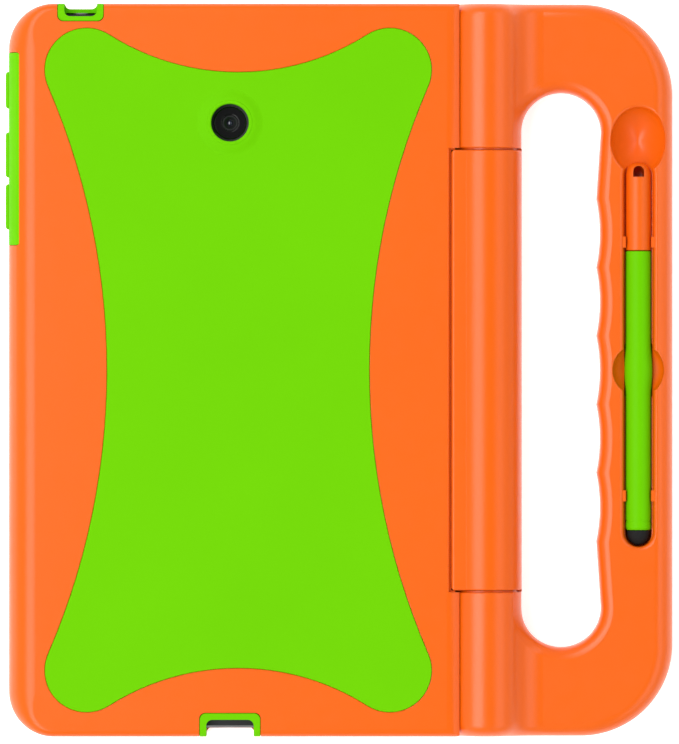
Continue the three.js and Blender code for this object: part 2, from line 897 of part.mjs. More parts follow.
function cameraBarrel() {
  const top = tabletBack + cameraWindowProud;
  const low = top - cameraBarrelHeight;
  const seat = low + cameraBarrelFloor;
  return turned([
    [0, low],
    [cameraBarrelRadius, low],
    [cameraBarrelRadius, top],
    [cameraBarrelRadius - smallEdge, top],
    [cameraPupilRadius + fitGap, top - cameraConeDepth],
    [cameraPupilRadius + fitGap, seat],
    [0, seat],
  ], 0, cameraY, 20);
}

function cameraLens() {
  const top = tabletBack + cameraWindowProud - lensSetback;
  const seat = tabletBack + cameraWindowProud - cameraBarrelHeight + cameraBarrelFloor;
  return turned([
    [0, seat],
    [cameraPupilRadius, seat],
    [cameraPupilRadius, top - lensDome],
    [cameraPupilRadius * 0.7, top - lensDome * 0.3],
    [0, top],
  ], 0, cameraY, 12);
}

// Hinge pieces

function hingeCover() {
  const flat = caseBack - axisZ;
  const flatX = Math.sqrt(barrelRadius ** 2 - flat ** 2);
  const left = axisX - barrelRadius;
  const section = new THREE.Shape();
  const partingAngle = Math.asin(fitGap / barrelRadius);
  section.moveTo(left, axisZ + fitGap);
  section.lineTo(axisX + barrelRadius * Math.cos(partingAngle), axisZ + fitGap);
  section.absarc(axisX, axisZ, barrelRadius, partingAngle, Math.atan2(flat, -flatX));
  section.lineTo(left + coverEdge, caseBack);
  section.absarc(left + coverEdge, caseBack - coverEdge, coverEdge, Math.PI / 2, Math.PI);
  const form = alongY(section, -coverHalf, coverHalf, coverEndEdge, 5);
  const holeTop = boltDepth + coverScrewLength + smallEdge;
  return carve(
    fuse(carve(form, barrelHollow()), coverPosts(axisZ + fitGap, axisZ + barrelRadius - barrelWall / 2)),
    shaftHole(),
    ...screwPlaces().map((y) => rodZ(screwRadius + screwPilot, 0, holeTop, axisX, y)),
  );
}

function hingeShaft(end) {
  const inner = clipRanges()[0][0] - seamGap;
  const outer = knuckleInner + shaftGrip;
  const rod = rodY(shaftRadius, inner, outer, axisX, axisZ, 20);
  const flat = box(
    axisX - barrelRadius,
    axisX + barrelRadius,
    knuckleInner + shaftEnd,
    outer + past,
    axisZ + shaftRadius - shaftFlat,
    openTop,
  );
  const shaft = carve(rod, flat);
  return end > 0 ? shaft : shaft.mirror([0, 1, 0]);
}

// The bore in a knuckle that the shaft's flatted end is pressed into.
function shaftSocket(end) {
  const outer = knuckleInner + shaftGrip + fitGap;
  const round = rodY(shaftRadius + fitGap, knuckleInner - past, outer, axisX, axisZ, 20);
  const flat = box(
    axisX - barrelRadius,
    axisX + barrelRadius,
    knuckleInner + shaftEnd + fitGap,
    outer + past,
    axisZ + shaftRadius - shaftFlat + fitGap,
    openTop,
  );
  const socket = carve(round, flat);
  return end > 0 ? socket : socket.mirror([0, 1, 0]);
}

function frictionClip([y0, y1]) {
  const outer = shaftRadius + clipGap + clipBand;
  const ring = rodY(outer, y0, y1, axisX, axisZ);
  const half = clipTail / 2;
  const tail = box(axisX - half, axisX + half, y0, y1, barrelWall + fitGap, axisZ - shaftRadius);
  return carve(fuse(ring, tail), rodY(shaftRadius + clipGap, y0 - past, y1 + past, axisX, axisZ, 20));
}

// Handle

function gripOpening() {
  const shoulder = (grooveCount * groovePitch) / 2;
  const grooveRadius = groovePitch ** 2 / (8 * grooveDepth) + grooveDepth / 2;
  const spread = Math.asin(groovePitch / 2 / grooveRadius);
  const points = [
    new THREE.Vector2(openingX - openingRadius, -openingY),
    ...arc(openingX, -openingY, openingRadius, Math.PI, Math.PI * 2, 12).slice(1),
  ];
  for (let i = 0; i < grooveCount; i += 1) {
    const y = (i + 0.5) * groovePitch - shoulder;
    const middle = gripX + grooveDepth - grooveRadius;
    const steps = arc(middle, y, grooveRadius, -spread, spread, 5);
    points.push(...(i === 0 ? steps : steps.slice(1)));
  }
  points.push(...arc(openingX, openingY, openingRadius, 0, Math.PI, 12));
  return new THREE.Shape(points.map((p) => p.add(new THREE.Vector2(axisX, 0))));
}

function handleForm() {
  const height = handleThickness - axisZ;
  const coveX = Math.sqrt((barrelRadius + coveRadius) ** 2 - (height + coveRadius) ** 2);
  const tangent = Math.atan2(height + coveRadius, coveX);
  const heelAngle = Math.PI + Math.acos(heelReach / barrelRadius);
  const backX = handleEdgeX - handleBackRound;
  const frontX = handleEdgeX - handleFrontRound;
  const section = new THREE.Shape([
    new THREE.Vector2(axisX - heelReach, 0),
    ...arc(frontX, handleFrontRound, handleFrontRound, -Math.PI / 2, 0, 3),
    ...arc(backX, handleThickness - handleBackRound, handleBackRound, 0, Math.PI / 2, 5),
    ...arc(axisX + coveX, handleThickness + coveRadius, coveRadius, -Math.PI / 2, tangent - Math.PI, 6),
    ...arc(axisX, axisZ, barrelRadius, tangent, heelAngle, 20).slice(1),
  ]);

  const plan = new THREE.Shape();
  const left = axisX - barrelRadius * 2;
  plan.moveTo(left, -halfHeight);
  plan.lineTo(handleEdgeX - handleCorner, -halfHeight);
  plan.absarc(handleEdgeX - handleCorner, handleCorner - halfHeight, handleCorner, -Math.PI / 2, 0);
  plan.lineTo(handleEdgeX, halfHeight - handleCorner);
  plan.absarc(handleEdgeX - handleCorner, halfHeight - handleCorner, handleCorner, 0, Math.PI / 2);
  plan.lineTo(left, halfHeight);
  plan.holes.push(gripOpening());

  const barrelZone = box(left, axisX + coveX, -halfHeight, halfHeight, 0, openTop);
  const plate = slab(plan, 0, handleThickness, frontEdge, endRound, 4);
  const form = alongY(section, -halfHeight, halfHeight, endRound).intersect(fuse(plate, barrelZone));
  const middle = box(left, axisX + openingX - openingRadius, -knuckleInner, knuckleInner, -past, openTop);
  return carve(form, middle, raised(gripOpening(), -past, openTop));
}

function stylusChannel() {
  const half = channelWidth / 2;
  const low = stylusTop - capLength - gripLength - tipLength - channelEndGap;
  const plan = new THREE.Shape();
  plan.absarc(stylusAxisX, low + half, half, Math.PI, Math.PI * 2);
  plan.absarc(stylusAxisX, stylusTop - stylusRadius, half, 0, Math.PI);
  const floorRound = half - channelEdge;
  const channel = raised(plan, channelFloor, handleThickness + channelDepth + half, floorRound, 4);
  const scoopZ = handleThickness + scoopRise;
  const reach = scoopDepth + scoopRise;
  const widen = 1 / Math.sqrt(1 - (scoopRise / reach) ** 2);
  const scoop = ellipsoid(stylusAxisX, scoopY, scoopZ, scoopReachX * widen, scoopReachY * widen, reach);
  const dishSphere = (dishRadius ** 2 + dishDepth ** 2) / (2 * dishDepth);
  const dish = ellipsoid(
    stylusAxisX,
    bulgeY,
    handleThickness - dishDepth + dishSphere,
    dishSphere,
    dishSphere,
    dishSphere,
  );
  return fuse(channel, scoop, dish);
}

// Small lugs at the channel's mouth that the stylus snaps under.
function retainingNubs() {
  const nubs = [];
  [nubTopY, nubLowY].forEach((y) => {
    [-1, 1].forEach((side) => {
      const wall = stylusAxisX + side * (channelWidth / 2 + smallEdge);
      const tip = stylusAxisX + side * (channelWidth / 2 - nubWidth);
      const section = new THREE.Shape();
      section.moveTo(wall, handleThickness - nubRoot);
      section.lineTo(wall, handleThickness - smallEdge);
      section.lineTo(tip, handleThickness - nubDrop);
      section.lineTo(tip, handleThickness - nubDrop - nubTip);
      nubs.push(alongY(section, y - nubLength / 2, y + nubLength / 2));
    });
  });
  return fuse(...nubs);
}

function handleBackHalf(form) {
  const block = form.intersect(bodyBlock(partingZ, openTop));
  const places = handleScrewPlaces();
  return carve(
    fuse(carve(block, stylusChannel()), retainingNubs()),
    shaftSocket(1),
    shaftSocket(-1),
    ...places.map(([x, y]) => screwRoom(axisX + x, y, handleScrewLength)),
  );
}

function handleFrontHalf(form) {
  const block = form.intersect(bodyBlock(-past, partingZ - fitGap));
  return carve(block, ...handleScrewPlaces().map(([x, y]) => screwRoom(axisX + x, y, handleScrewLength)));
}

// Stylus

function stylusCap() {
  const body = turnedY([
    [0, capLow],
    [stylusRadius - stylusEdge, capLow],
    [stylusRadius, capLow + 2 * stylusEdge],
    [stylusRadius, stylusTop - stylusRadius],
    [stylusRadius * 0.87, stylusTop - stylusRadius * 0.5],
    [stylusRadius * 0.5, stylusTop - stylusRadius * 0.13],
    [0, stylusTop],
  ], stylusAxisX, stylusAxisZ);
  return carve(body, rodZ(eyeRadius, 0, openTop, stylusAxisX, stylusTop - eyeInset, 16));
}

function stylusBarrel() {
  const top = capLow - fitGap;
  return turnedY([
    [0, gripLow],
    [stylusRadius - 2 * stylusEdge, gripLow],
    [stylusRadius, gripLow + 2 * stylusEdge],
    [stylusRadius, bulgeY - bulgeLength / 2],
    [stylusRadius + bulge * 0.7, bulgeY - bulgeLength / 4],
    [stylusRadius + bulge, bulgeY],
    [stylusRadius + bulge * 0.7, bulgeY + bulgeLength / 4],
    [stylusRadius, bulgeY + bulgeLength / 2],
    [stylusRadius, top - 2 * stylusEdge],
    [stylusRadius - stylusEdge, top],
    [0, top],
  ], stylusAxisX, stylusAxisZ);
}

function stylusTip() {
  const root = gripLow - fitGap;
  const radius = stylusRadius - 2 * stylusEdge;
  const dome = arc(0, radius + gripLow - tipLength, radius, 0, -Math.PI / 2, 4).map((p) => [p.x, p.y]);
  dome[dome.length - 1][0] = 0;
  return turnedY([...dome.reverse(), [radius, root], [0, root]], stylusAxisX, stylusAxisZ);
}

// Materials

const orange = { color: 0xff762c, roughness: 0.42, metalness: 0 };
const green = { color: 0x7ae204, roughness: 0.62, metalness: 0 };
const black = { color: 0x0d0d0f, roughness: 0.35, metalness: 0 };
const darkGlass = { color: 0x08080c, roughness: 0.06, metalness: 0 };
const steel = { color: 0xb9bcc0, roughness: 0.3, metalness: 1 };
const rubber = { color: 0x141414, roughness: 0.8, metalness: 0 };

const object = new THREE.Group();
const centreX = (caseLeft - padProud + handleEdgeX) / 2;
object.position.set(-centreX, 0, 0);

function place(name, solid, look) {
  const mesh = new THREE.Mesh(toGeometry(solid), new THREE.MeshStandardMaterial(look));
  mesh.name = name;
  object.add(mesh);
}

const form = bodyForm();
const body = carve(form, knucklePockets());
place('rear_shell', rearShell(body), orange);
place('front_frame', frontFrame(body), orange);
const moulding = softMoulding(form);
place('inner_liner', innerLiner(moulding), green);
place('charge_port_frame', chargePortFrame(moulding), green);
padPlaces().forEach(([name, y, length]) => {
  place(`${name}_pad`, buttonPad(y, length), green);
  place(`${name}_key`, tabletKey(y, length), black);
});

place('tablet_housing', tabletHousing(), black);
place('tablet_glass', tabletGlass(), darkGlass);
place('display_panel', displayPanel(), black);
place('camera_window', cameraWindow(), darkGlass);
place('camera_barrel', cameraBarrel(), black);
place('camera_lens', cameraLens(), darkGlass);
place('usb_shell', usbShell(), steel);
place('usb_tongue', usbTongue(), black);
place('headphone_jack', headphoneJack(), black);

place('hinge_cover', hingeCover(), orange);
screwPlaces().forEach((y, i) => place(`cover_screw_${i + 1}`, screw(axisX, y, coverScrewLength), steel));
[['top', 1], ['bottom', -1]].forEach(([name, end], i) => {
  place(`hinge_shaft_${name}`, hingeShaft(end), steel);
  place(`friction_clip_${name}`, frictionClip(clipRanges()[i]), steel);
});

const handle = handleForm();
place('handle_back_half', handleBackHalf(handle), orange);
place('handle_front_half', handleFrontHalf(handle), orange);
handleScrewPlaces().forEach(([x, y], i) => {
  place(`handle_screw_${i + 1}`, screw(axisX + x, y, handleScrewLength), steel);
});
place('stylus_cap', stylusCap(), orange);
place('stylus_barrel', stylusBarrel(), green);
place('stylus_tip', stylusTip(), rubber);

export default object;
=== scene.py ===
"""A child's tablet case with a folding carry handle, dressed for a studio picture.

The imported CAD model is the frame. Each visible piece is modelled again in finer form, in the
same place, and every piece gets its own material. Lengths in the modelling code are in
millimetres from the tablet's middle; the properties are in metres.
"""

import json
import math

import bmesh
import bpy
from bpy.props import FloatProperty, FloatVectorProperty, IntProperty, PointerProperty
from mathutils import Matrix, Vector


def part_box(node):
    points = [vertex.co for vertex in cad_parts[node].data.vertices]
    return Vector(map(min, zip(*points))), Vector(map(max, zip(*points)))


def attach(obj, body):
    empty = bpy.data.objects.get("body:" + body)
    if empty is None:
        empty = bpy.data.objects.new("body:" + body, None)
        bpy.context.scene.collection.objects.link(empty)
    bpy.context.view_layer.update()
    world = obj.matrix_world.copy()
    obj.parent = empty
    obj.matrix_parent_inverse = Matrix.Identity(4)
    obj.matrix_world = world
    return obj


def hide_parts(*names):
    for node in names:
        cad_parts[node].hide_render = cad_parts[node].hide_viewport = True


bl_info = {
    "name": "Tablet Case",
    "version": (1, 0, 0),
    "blender": (4, 5, 0),
    "location": "3D View > Sidebar > Tablet Case",
    "description": "Models and dresses a child's tablet case with a folding handle",
    "category": "Object",
}

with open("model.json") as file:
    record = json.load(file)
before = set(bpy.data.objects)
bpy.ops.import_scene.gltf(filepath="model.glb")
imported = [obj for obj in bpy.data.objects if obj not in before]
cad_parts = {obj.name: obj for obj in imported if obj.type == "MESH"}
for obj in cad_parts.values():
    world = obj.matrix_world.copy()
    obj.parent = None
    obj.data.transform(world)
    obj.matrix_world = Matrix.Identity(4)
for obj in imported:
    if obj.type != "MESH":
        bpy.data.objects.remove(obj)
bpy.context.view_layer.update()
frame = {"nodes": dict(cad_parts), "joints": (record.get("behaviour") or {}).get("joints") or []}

MM = 0.001
tablet_low, tablet_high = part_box("tablet_housing")
MIDDLE_X = (tablet_low[0] + tablet_high[0]) / 2


def measured(node):
    """Low and high corner of a CAD node, in millimetres from the tablet's middle."""
    return [Vector(((c[0] - MIDDLE_X) / MM, c[1] / MM, c[2] / MM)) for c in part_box(node)]


def joint_place(name):
    """A joint's point in millimetres from the tablet's middle."""
    joint = next(j for j in frame["joints"] if j["name"] == name)
    x, y, z = joint["pos_m"]
    return (x - MIDDLE_X) / MM, y / MM, z / MM


TABLET_LOW, TABLET_HIGH = measured("tablet_housing")
SHELL_LOW, SHELL_HIGH = measured("rear_shell")
HANDLE_HIGH = measured("handle_back_half")[1]
COVER_HIGH = measured("hinge_cover")[1]
CAP_LOW, CAP_HIGH = measured("stylus_cap")
BARREL_LOW, BARREL_HIGH = measured("stylus_barrel")
TIP_LOW, TIP_HIGH = measured("stylus_tip")
LENS_LOW, LENS_HIGH = measured("camera_window")
AXIS_X, _, AXIS_Z = joint_place("handle_hinge")

# Case
CASE_LEFT = SHELL_LOW.x
CASE_END = SHELL_HIGH.y
CASE_BACK = SHELL_HIGH.z
CASE_CORNER = 12
PARTING = 3.4
FIT = 0.15
SHOULDER_X = 62.2
SHOULDER_START = 5
SHOULDER_TURN = 88
LINER_X = 56.45
LINER_Y = 95.85
LINER_TOP = 14.1
LINER_CORNER = 10.25
PANEL_TOP = 17.35
TABLET_CORNER = 9
TABLET_EDGE = 2.2
FRONT_LIP = 2.5
LIP_COVER = 5
SCREEN_CORNER = 5
TABLET_MID = (TABLET_LOW.z + TABLET_HIGH.z) / 2
CAMERA_Y = (LENS_LOW.y + LENS_HIGH.y) / 2

# Window in the back
WINDOW_X = 2.2
WINDOW_REACH_X = 51.3
WINDOW_REACH_Y = 90.7
WINDOW_WAIST_X = 34.8
WINDOW_WAIST_Y = 79
WINDOW_LOBE = 11.1
CAMERA_HOLE = 5
CAMERA_EDGE = 0.35
MOUND_RADIUS = 9
MOUND_SINK = 0.01
LIP_ROUND = 0.6

# Tablet's camera: outer edges as (radius, height) from the full radius and the top
CAMERA_RING = ((0, -0.25), (-0.1, -0.08), (-0.3, 0))
CAMERA_BORE = 2.25
BORE_RIM = 0.15
CAMERA_TUBE = ((0, -0.15), (-0.15, 0), (-0.4, 0))
CAMERA_FUNNEL = ((0.9, -0.7), (1.0, -0.6), (1.6, -0.1), (1.75, 0.05))
FUNNEL_SEAT = 0.5
LENS_RISE = 0.4
LENS_DOME = 88

# Button strip and ports
STRIP_Y = 58.7
STRIP_LENGTH = 51
STRIP_LOW = 4.2
STRIP_HIGH = 15.55
STRIP_CORNER = 0.9
STRIP_LAP = 0.5
BUTTONS = ("power", "volume_up", "volume_down")
PAD_CORNER = 1.7
PAD_GAP = 0.3
PAD_FLANGE = 0.6
FLANGE_X = -56.7
PAD_SINK = 0.1
PORT_CORNER = 1.6
CHARGE_WIDTH = 12.6
CHARGE_REACH = 4.5
CHARGE_FRAME = 1.7
JACK_X = -39.6
JACK_WIDTH = 8.7
JACK_REACH = 3.4
JACK_FRAME = 1.2
JACK_HOLE = 3.1
JACK_WALL = 1.7
JACK_SLIT = 11.35

# Hinge
BARREL = HANDLE_HIGH.z - AXIS_Z
POCKET = 9.8
BARREL_WALL = 2.2
BARREL_END = 2.4
KNUCKLE_INNER = 58.9
COVER_HALF = COVER_HIGH.y
SHAFT_HOLE = 2.8
POST = 3.3
BOSS = 0.42
BOSS_STEP = 1.2
SEAM = 0.42
SEAM_CLEAR = 0.04
SEAM_REACH = 1
LEDGE = 1.2
LEDGE_GAP = 0.06
LEDGE_TURN = 87
SWEEP = 0.15
COVER_CORNER = 1
TROUGH_LAP = 0.8
COVER_SCREWS = (36, 0, -36)
COVER_SCREW = 12
SCREW_SINK = 1.95
SCREW_SEAT = 2.1
SCREW_RECESS = 2.15
SCREW_BORE = 1.3
SCREW_HEAD = ((1.2, 0), (1.6, 0.08), (1.85, 0.3), (2, 0.7), (2, 1.3), (1.1, 1.3))
SHANK_RADIUS = 1.1
SHANK_START = 0.5
SHANK_POINT = 0.3
CROSS_HALF = 0.22
CROSS_REACH = 0.8

# Handle
HANDLE_RIGHT = HANDLE_HIGH.x
HANDLE_TOP = 11.4
HANDLE_CORNER = 24.4
COVE = 10.3
HEEL = 5.5
HEEL_LEAN = 0.7
INSIDE_X = AXIS_X + 2
INSIDE_Z = 5
SUNK = 0.01
UNDER_START = 150
UNDER_SPAN = 60
OPENING_NEAR = AXIS_X + 9.3
OPENING_RADIUS = 10.6
OPENING_Y = 63.1
GRIP_X = AXIS_X + 29.3
GROOVE_PITCH = 18.2
HANDLE_SCREWS = ((17.9, 85.45), (38.3, 82.6), (32.775, 27.3))
HANDLE_SCREW = 6

# Stylus and its channel
STYLUS_X = (BARREL_LOW.x + BARREL_HIGH.x) / 2
STYLUS_Z = (BARREL_LOW.z + BARREL_HIGH.z) / 2
STYLUS_RADIUS = (CAP_HIGH.x - CAP_LOW.x) / 2
STYLUS_EDGE = 0.3
BARREL_FOOT = ((-0.6, 0), (-0.3, 0.05), (0, 0.5))
BARREL_HEAD = ((0, -0.3), (-0.09, -0.09), (-0.3, 0))
STYLUS_DOME = 88.65
DOME_FULLNESS = 0.75
BULGE_HALF = 7
RING_INSET = 2.4
RING_HALF = 0.45
EYE_INSET = 2.4
TIP_COLLAR = 0.4
TIP_DOME = 88.5
TIP_GAP = 0.4
CRADLE_GAP = 0.07
CRADLE_HALF = STYLUS_RADIUS + CRADLE_GAP
CHANNEL_HALF = 3.95
CHANNEL_DEPTH = 7
CHANNEL_CORNER = 0.4
MOUTH_FLOOR = STYLUS_Z + 0.6
SCOOP_Y = 61
SCOOP_X = 7.2
SCOOP_LONG = 8.7
SCOOP_SLOPE = 1.5
DISH_RADIUS = 6.8
DISH_SLOPE = 0.85
LUG_LENGTH = 3
LUG_PLACES = (34, -33.4)
LUG_EDGE = 0.2
LUG_BITE = 0.2
LUG_SECTION = ((2.1, -2.8), (0, -1.5), (0.1, -0.65), (0.35, -0.45), (2.1, -0.45))

# Reach of tools past a face, and how finely edges are drawn
PAST = 1
ABOVE = 30
CLEAR = 0.02
FLARE = 0.2
EDGE_STEPS = 8
RIM_STEPS = 7
RIM_TURN = 84
SMOOTH_ANGLE = 32

# Patterns of the moulded surface
MOTTLE_SCALE = 28.0
MOTTLE_REACH = 0.2
MARK_SCALE = 240.0
MARK_REACH = 0.25
GRAIN_SCALE = 3000.0

# Studio, in metres, watts and shares of white
FLOOR_SIZE = 6
FLOOR_DROP = 0.0002
FLOOR_GLOW = 0.6
SKY_LOW = 0.9
SKY_HIGH = 0.12
LIGHT_LENGTH = 3.0
LIGHTS = (
    ("main softbox", (-0.74, 0.05, 1.5), 1.0, 39.5),
    ("side softbox", (1.15, 0.0, 1.2), 0.8, 11),
)
CAMERA_DISTANCE = 3.0
CAMERA_SHIFT = (0.0001, -0.0005)
VIEW_HEIGHT = 0.1972
SENSOR_HEIGHT = 24


def metres(name, text, default):
    """A length property."""
    return FloatProperty(name=name, description=text, default=default,
                         unit="LENGTH", subtype="DISTANCE")


def colour(name, text, default):
    """A colour property."""
    return FloatVectorProperty(name=name, description=text, default=default, size=4,
                               min=0, max=1, subtype="COLOR")


class CaseSizes(bpy.types.PropertyGroup):
    """Roundings and small forms of the case."""

    back_round: metres("Back rounding", "Rounding of the back along the left side", 0.0074)
    end_round: metres("End rounding", "Rounding of the back along both ends", 0.002)
    shoulder_round: metres("Shoulder rounding", "Rounding beside the hinge knuckles", 0.007)
    front_round: metres("Front rounding", "Rounding of the front frame's left side", 0.003)
    front_edge: metres("Front edge", "Rounding of the front frame's ends", 0.0012)
    screen_bevel: metres("Screen bevel", "Bevel round the screen opening", 0.0014)
    window_rim: metres("Window rim", "Rounding of the shell round the window", 0.0002)
    panel_gap: metres("Panel gap", "Gap between the shell and the liner's panel", 0.00004)
    panel_edge: metres("Panel edge", "Rounding of the panel's edge", 0.0002)
    mound_rise: metres("Camera mound", "Height of the lip round the camera", 0.0009)
    lip_width: metres("Camera lip", "Width of the lip round the camera", 0.0012)
    pad_edge: metres("Pad edge", "Rounding of the button pads", 0.0008)
    cover_edge: metres("Cover edge", "Rounding of the hinge cover's left edge", 0.0008)
    cover_end: metres("Cover ends", "Rounding of the hinge cover's ends", 0.0005)


class HandleSizes(bpy.types.PropertyGroup):
    """Roundings and small forms of the handle."""

    arm_edge: metres("Arm edge", "Rounding of the back along the handle's arms", 0.0036)
    side_edge: metres("Side edge", "Rounding of the back along the handle's side", 0.005)
    front_edge: metres("Front edge", "Rounding of the front along the handle's arms", 0.0012)
    front_side: metres("Front side edge", "Rounding of the front along the handle's side", 0.003)
    knuckle_edge: metres("Knuckle edge", "Rounding at the knuckles' inner ends", 0.0005)
    opening_rim: metres("Grip rim", "Rounding round the grip opening's back", 0.0034)
    opening_front: metres("Grip front rim", "Rounding round the grip opening's front", 0.0012)
    groove_depth: metres("Groove depth", "Depth of the finger grooves", 0.00095)
    groove_count: IntProperty(name="Grooves", description="Finger grooves in the grip",
                              default=5, min=1)
    channel_rim: metres("Channel rim", "Rounding along the stylus channel", 0.0012)
    scoop_depth: metres("Scoop depth", "Depth of the finger scoop at the cap", 0.007)
    scoop_rim: metres("Scoop rim", "Rounding round the finger scoop", 0.001)
    dish_depth: metres("Dish depth", "Depth of the finger dish at the middle", 0.004)
    dish_rim: metres("Dish rim", "Rounding round the finger dish", 0.0006)


class StylusSizes(bpy.types.PropertyGroup):
    """Small forms of the stylus."""

    bulge: metres("Bulge", "Swelling at the middle of the barrel", 0.00025)
    eye: metres("Eye", "Radius of the hole in the cap", 0.00145)
    ring: metres("Ring", "Depth of the ring near the tip", 0.00012)


class Finishes(bpy.types.PropertyGroup):
    """Colours and surface of the materials."""

    orange: colour("Orange", "Moulded plastic of the case and handle", (0.74, 0.108, 0.001, 1))
    green: colour("Green", "Silicone of the liner", (0.127, 0.505, 0.0, 1))
    stylus_green: colour("Stylus green", "Plastic of the stylus barrel", (0.127, 0.505, 0.0, 1))
    rubber: colour("Rubber", "Tip of the stylus", (0.012, 0.012, 0.012, 1))
    tablet: colour("Tablet", "Plastic of the tablet's body", (0.008, 0.008, 0.01, 1))
    floor: colour("Floor", "The floor under the case", (0.97, 0.97, 0.97, 1))
    grain: metres("Grain depth", "Height of the fine moulded grain", 0.000012)


# Modelling aids


def start():
    """Object mode, with nothing selected."""
    if bpy.context.object and bpy.context.object.mode != "OBJECT":
        bpy.ops.object.mode_set(mode="OBJECT")
    bpy.ops.object.select_all(action="DESELECT")


def take(piece):
    """Select one piece and make it the active one."""
    start()
    piece.select_set(True)
    bpy.context.view_layer.objects.active = piece


def place(point):
    """A point in millimetres from the tablet's middle, in the row frame."""
    return Vector((point[0] * MM + MIDDLE_X, point[1] * MM, point[2] * MM))


def loft(name, rings):
    """A closed form: a disc drawn up through rings that have the same number of points."""
    start()
    bpy.ops.mesh.primitive_circle_add(vertices=len(rings[0]), radius=MM, fill_type="NGON")
    piece = bpy.context.object
    piece.name = name
    bpy.ops.object.mode_set(mode="EDIT")
    mesh = bmesh.from_edit_mesh(piece.data)
    order = mesh.verts.layers.int.new("order")
    for i, vertex in enumerate(mesh.verts):
        vertex[order] = i
    bmesh.update_edit_mesh(piece.data)
    for step, ring in enumerate(rings):
        if step:
            bpy.ops.mesh.extrude_region_move(TRANSFORM_OT_translate={"value": (0, 0, MM)})
        mesh = bmesh.from_edit_mesh(piece.data)
        order = mesh.verts.layers.int["order"]
        for vertex in mesh.verts:
            if vertex.select:
                vertex.co = place(ring[vertex[order]])
        bmesh.update_edit_mesh(piece.data)
    bpy.ops.mesh.select_all(action="SELECT")
    bpy.ops.mesh.normals_make_consistent(inside=False)
    bpy.ops.object.mode_set(mode="OBJECT")
    piece.data.attributes.remove(piece.data.attributes["order"])
    return piece


def combine(piece, tool, operation):
    """Join, cut or keep a piece by another, which is used up."""
    take(piece)
    modifier = piece.modifiers.new("combine", "BOOLEAN")
    modifier.operation = operation
    modifier.solver = "MANIFOLD"
    modifier.object = tool
    bpy.ops.object.modifier_apply(modifier=modifier.name)
    bpy.data.objects.remove(tool)
    return piece


def join(piece, *others):
    """The piece with others fused to it."""
    for other in others:
        combine(piece, other, "UNION")
    return piece


def cut(piece, *tools):
    """The piece with tools taken out of it."""
    for tool in tools:
        combine(piece, tool, "DIFFERENCE")
    return piece


def keep(piece, tool):
    """What the piece and the tool share."""
    return combine(piece, tool, "INTERSECT")


def copy_of(piece, name, change=None):
    """A copy with its own mesh, all of which may be changed in edit mode."""
    take(piece)
    bpy.ops.object.duplicate(linked=False)
    other = bpy.context.object
    other.name = name
    if change:
        bpy.ops.object.mode_set(mode="EDIT")
        bpy.ops.mesh.select_all(action="SELECT")
        change()
        bpy.ops.mesh.normals_make_consistent(inside=False)
        bpy.ops.object.mode_set(mode="OBJECT")
    return other


def mirrored(piece, name):
    """A copy on the other side of the case's middle line, along Y."""
    return copy_of(piece, name, lambda: bpy.ops.transform.resize(
        value=(1, -1, 1), center_override=(0, 0, 0)))


def turns(begin, end, steps):
    """Cosine and sine at equal steps of an angle in degrees."""
    angles = [math.radians(begin + (end - begin) * i / steps) for i in range(steps + 1)]
    return [(math.cos(angle), math.sin(angle)) for angle in angles]


def arc(x, y, radius, begin, end, steps):
    """Points along an arc, its angles in degrees."""
    return [(x + radius * c, y + radius * s) for c, s in turns(begin, end, steps)]


def circle(x, y, radius, sides):
    """Points once round a circle."""
    return arc(x, y, radius, 0, 360 - 360 / sides, sides - 1)


def oval(x, y, reach_x, reach_y, begin, end, steps):
    """Points along a part of an oval, its angles in degrees."""
    return [(x + reach_x * c, y + reach_y * s) for c, s in turns(begin, end, steps)]


def both_ends(near, far):
    """The stretches from near to far at the case's upper and lower end."""
    return (near, far), (-far, -near)


def rounded_rectangle(x0, x1, y0, y1, corner, steps=10):
    """Outline of a rectangle with rounded corners."""
    return (
        arc(x1 - corner, y0 + corner, corner, -90, 0, steps)
        + arc(x1 - corner, y1 - corner, corner, 0, 90, steps)
        + arc(x0 + corner, y1 - corner, corner, 90, 180, steps)
        + arc(x0 + corner, y0 + corner, corner, 180, 270, steps)
    )


def moved_in(outline, amounts):
    """A closed outline with each point moved inwards by its own amount."""
    moved = []
    for i, point in enumerate(outline):
        here = Vector(point)
        before = (here - Vector(outline[i - 1])).normalized()
        after = (Vector(outline[(i + 1) % len(outline)]) - here).normalized()
        side = Vector((-before.y - after.y, before.x + after.x)) / (1 + before.dot(after))
        moved.append(here + side * amounts[i])
    return moved


def each(size, outline):
    """A size for each point of an outline."""
    return list(size) if isinstance(size, (list, tuple)) else [size] * len(outline)


def edge_steps(sizes, level, side):
    """Steps of a rounded edge, from the wall to the flat face at that level.

    Side is 1 at an upper face and -1 at a lower one.
    """
    return [([size * (1 - s) for size in sizes], [level - side * size * (1 - c) for size in sizes])
            for c, s in turns(90, 0, EDGE_STEPS)]


def rim_steps(sizes, level, side, surface=None):
    """Steps of a tool that flares out into a rounded rim at the face it leaves through."""
    steps = [([-size * (1 - s) for size in sizes], [size * (1 - c) for size in sizes])
             for c, s in turns(90, 90 - RIM_TURN, RIM_STEPS)]
    steps.append(([-size - CLEAR * 8 for size in sizes], [-CLEAR] * len(sizes)))

    def height(drop):
        return lambda x: (surface(x) if surface else level) - side * drop

    out = [(outward, [height(drop) for drop in drops]) for outward, drops in steps]
    last = out[-1][0]
    out.append((last, [level + side * (ABOVE if side > 0 else PAST)] * len(sizes)))
    return out


def swept(name, outline, steps, point=lambda p, height: (p.x, p.y, height)):
    """A form whose outline moves in and along by steps, each place put in space by point.

    A height is a number, or is found from x.
    """
    rings = []
    for inward, heights in steps:
        flat = moved_in(outline, inward)
        rings.append([point(p, h(p.x) if callable(h) else h) for p, h in zip(flat, heights)])
    return loft(name, rings)


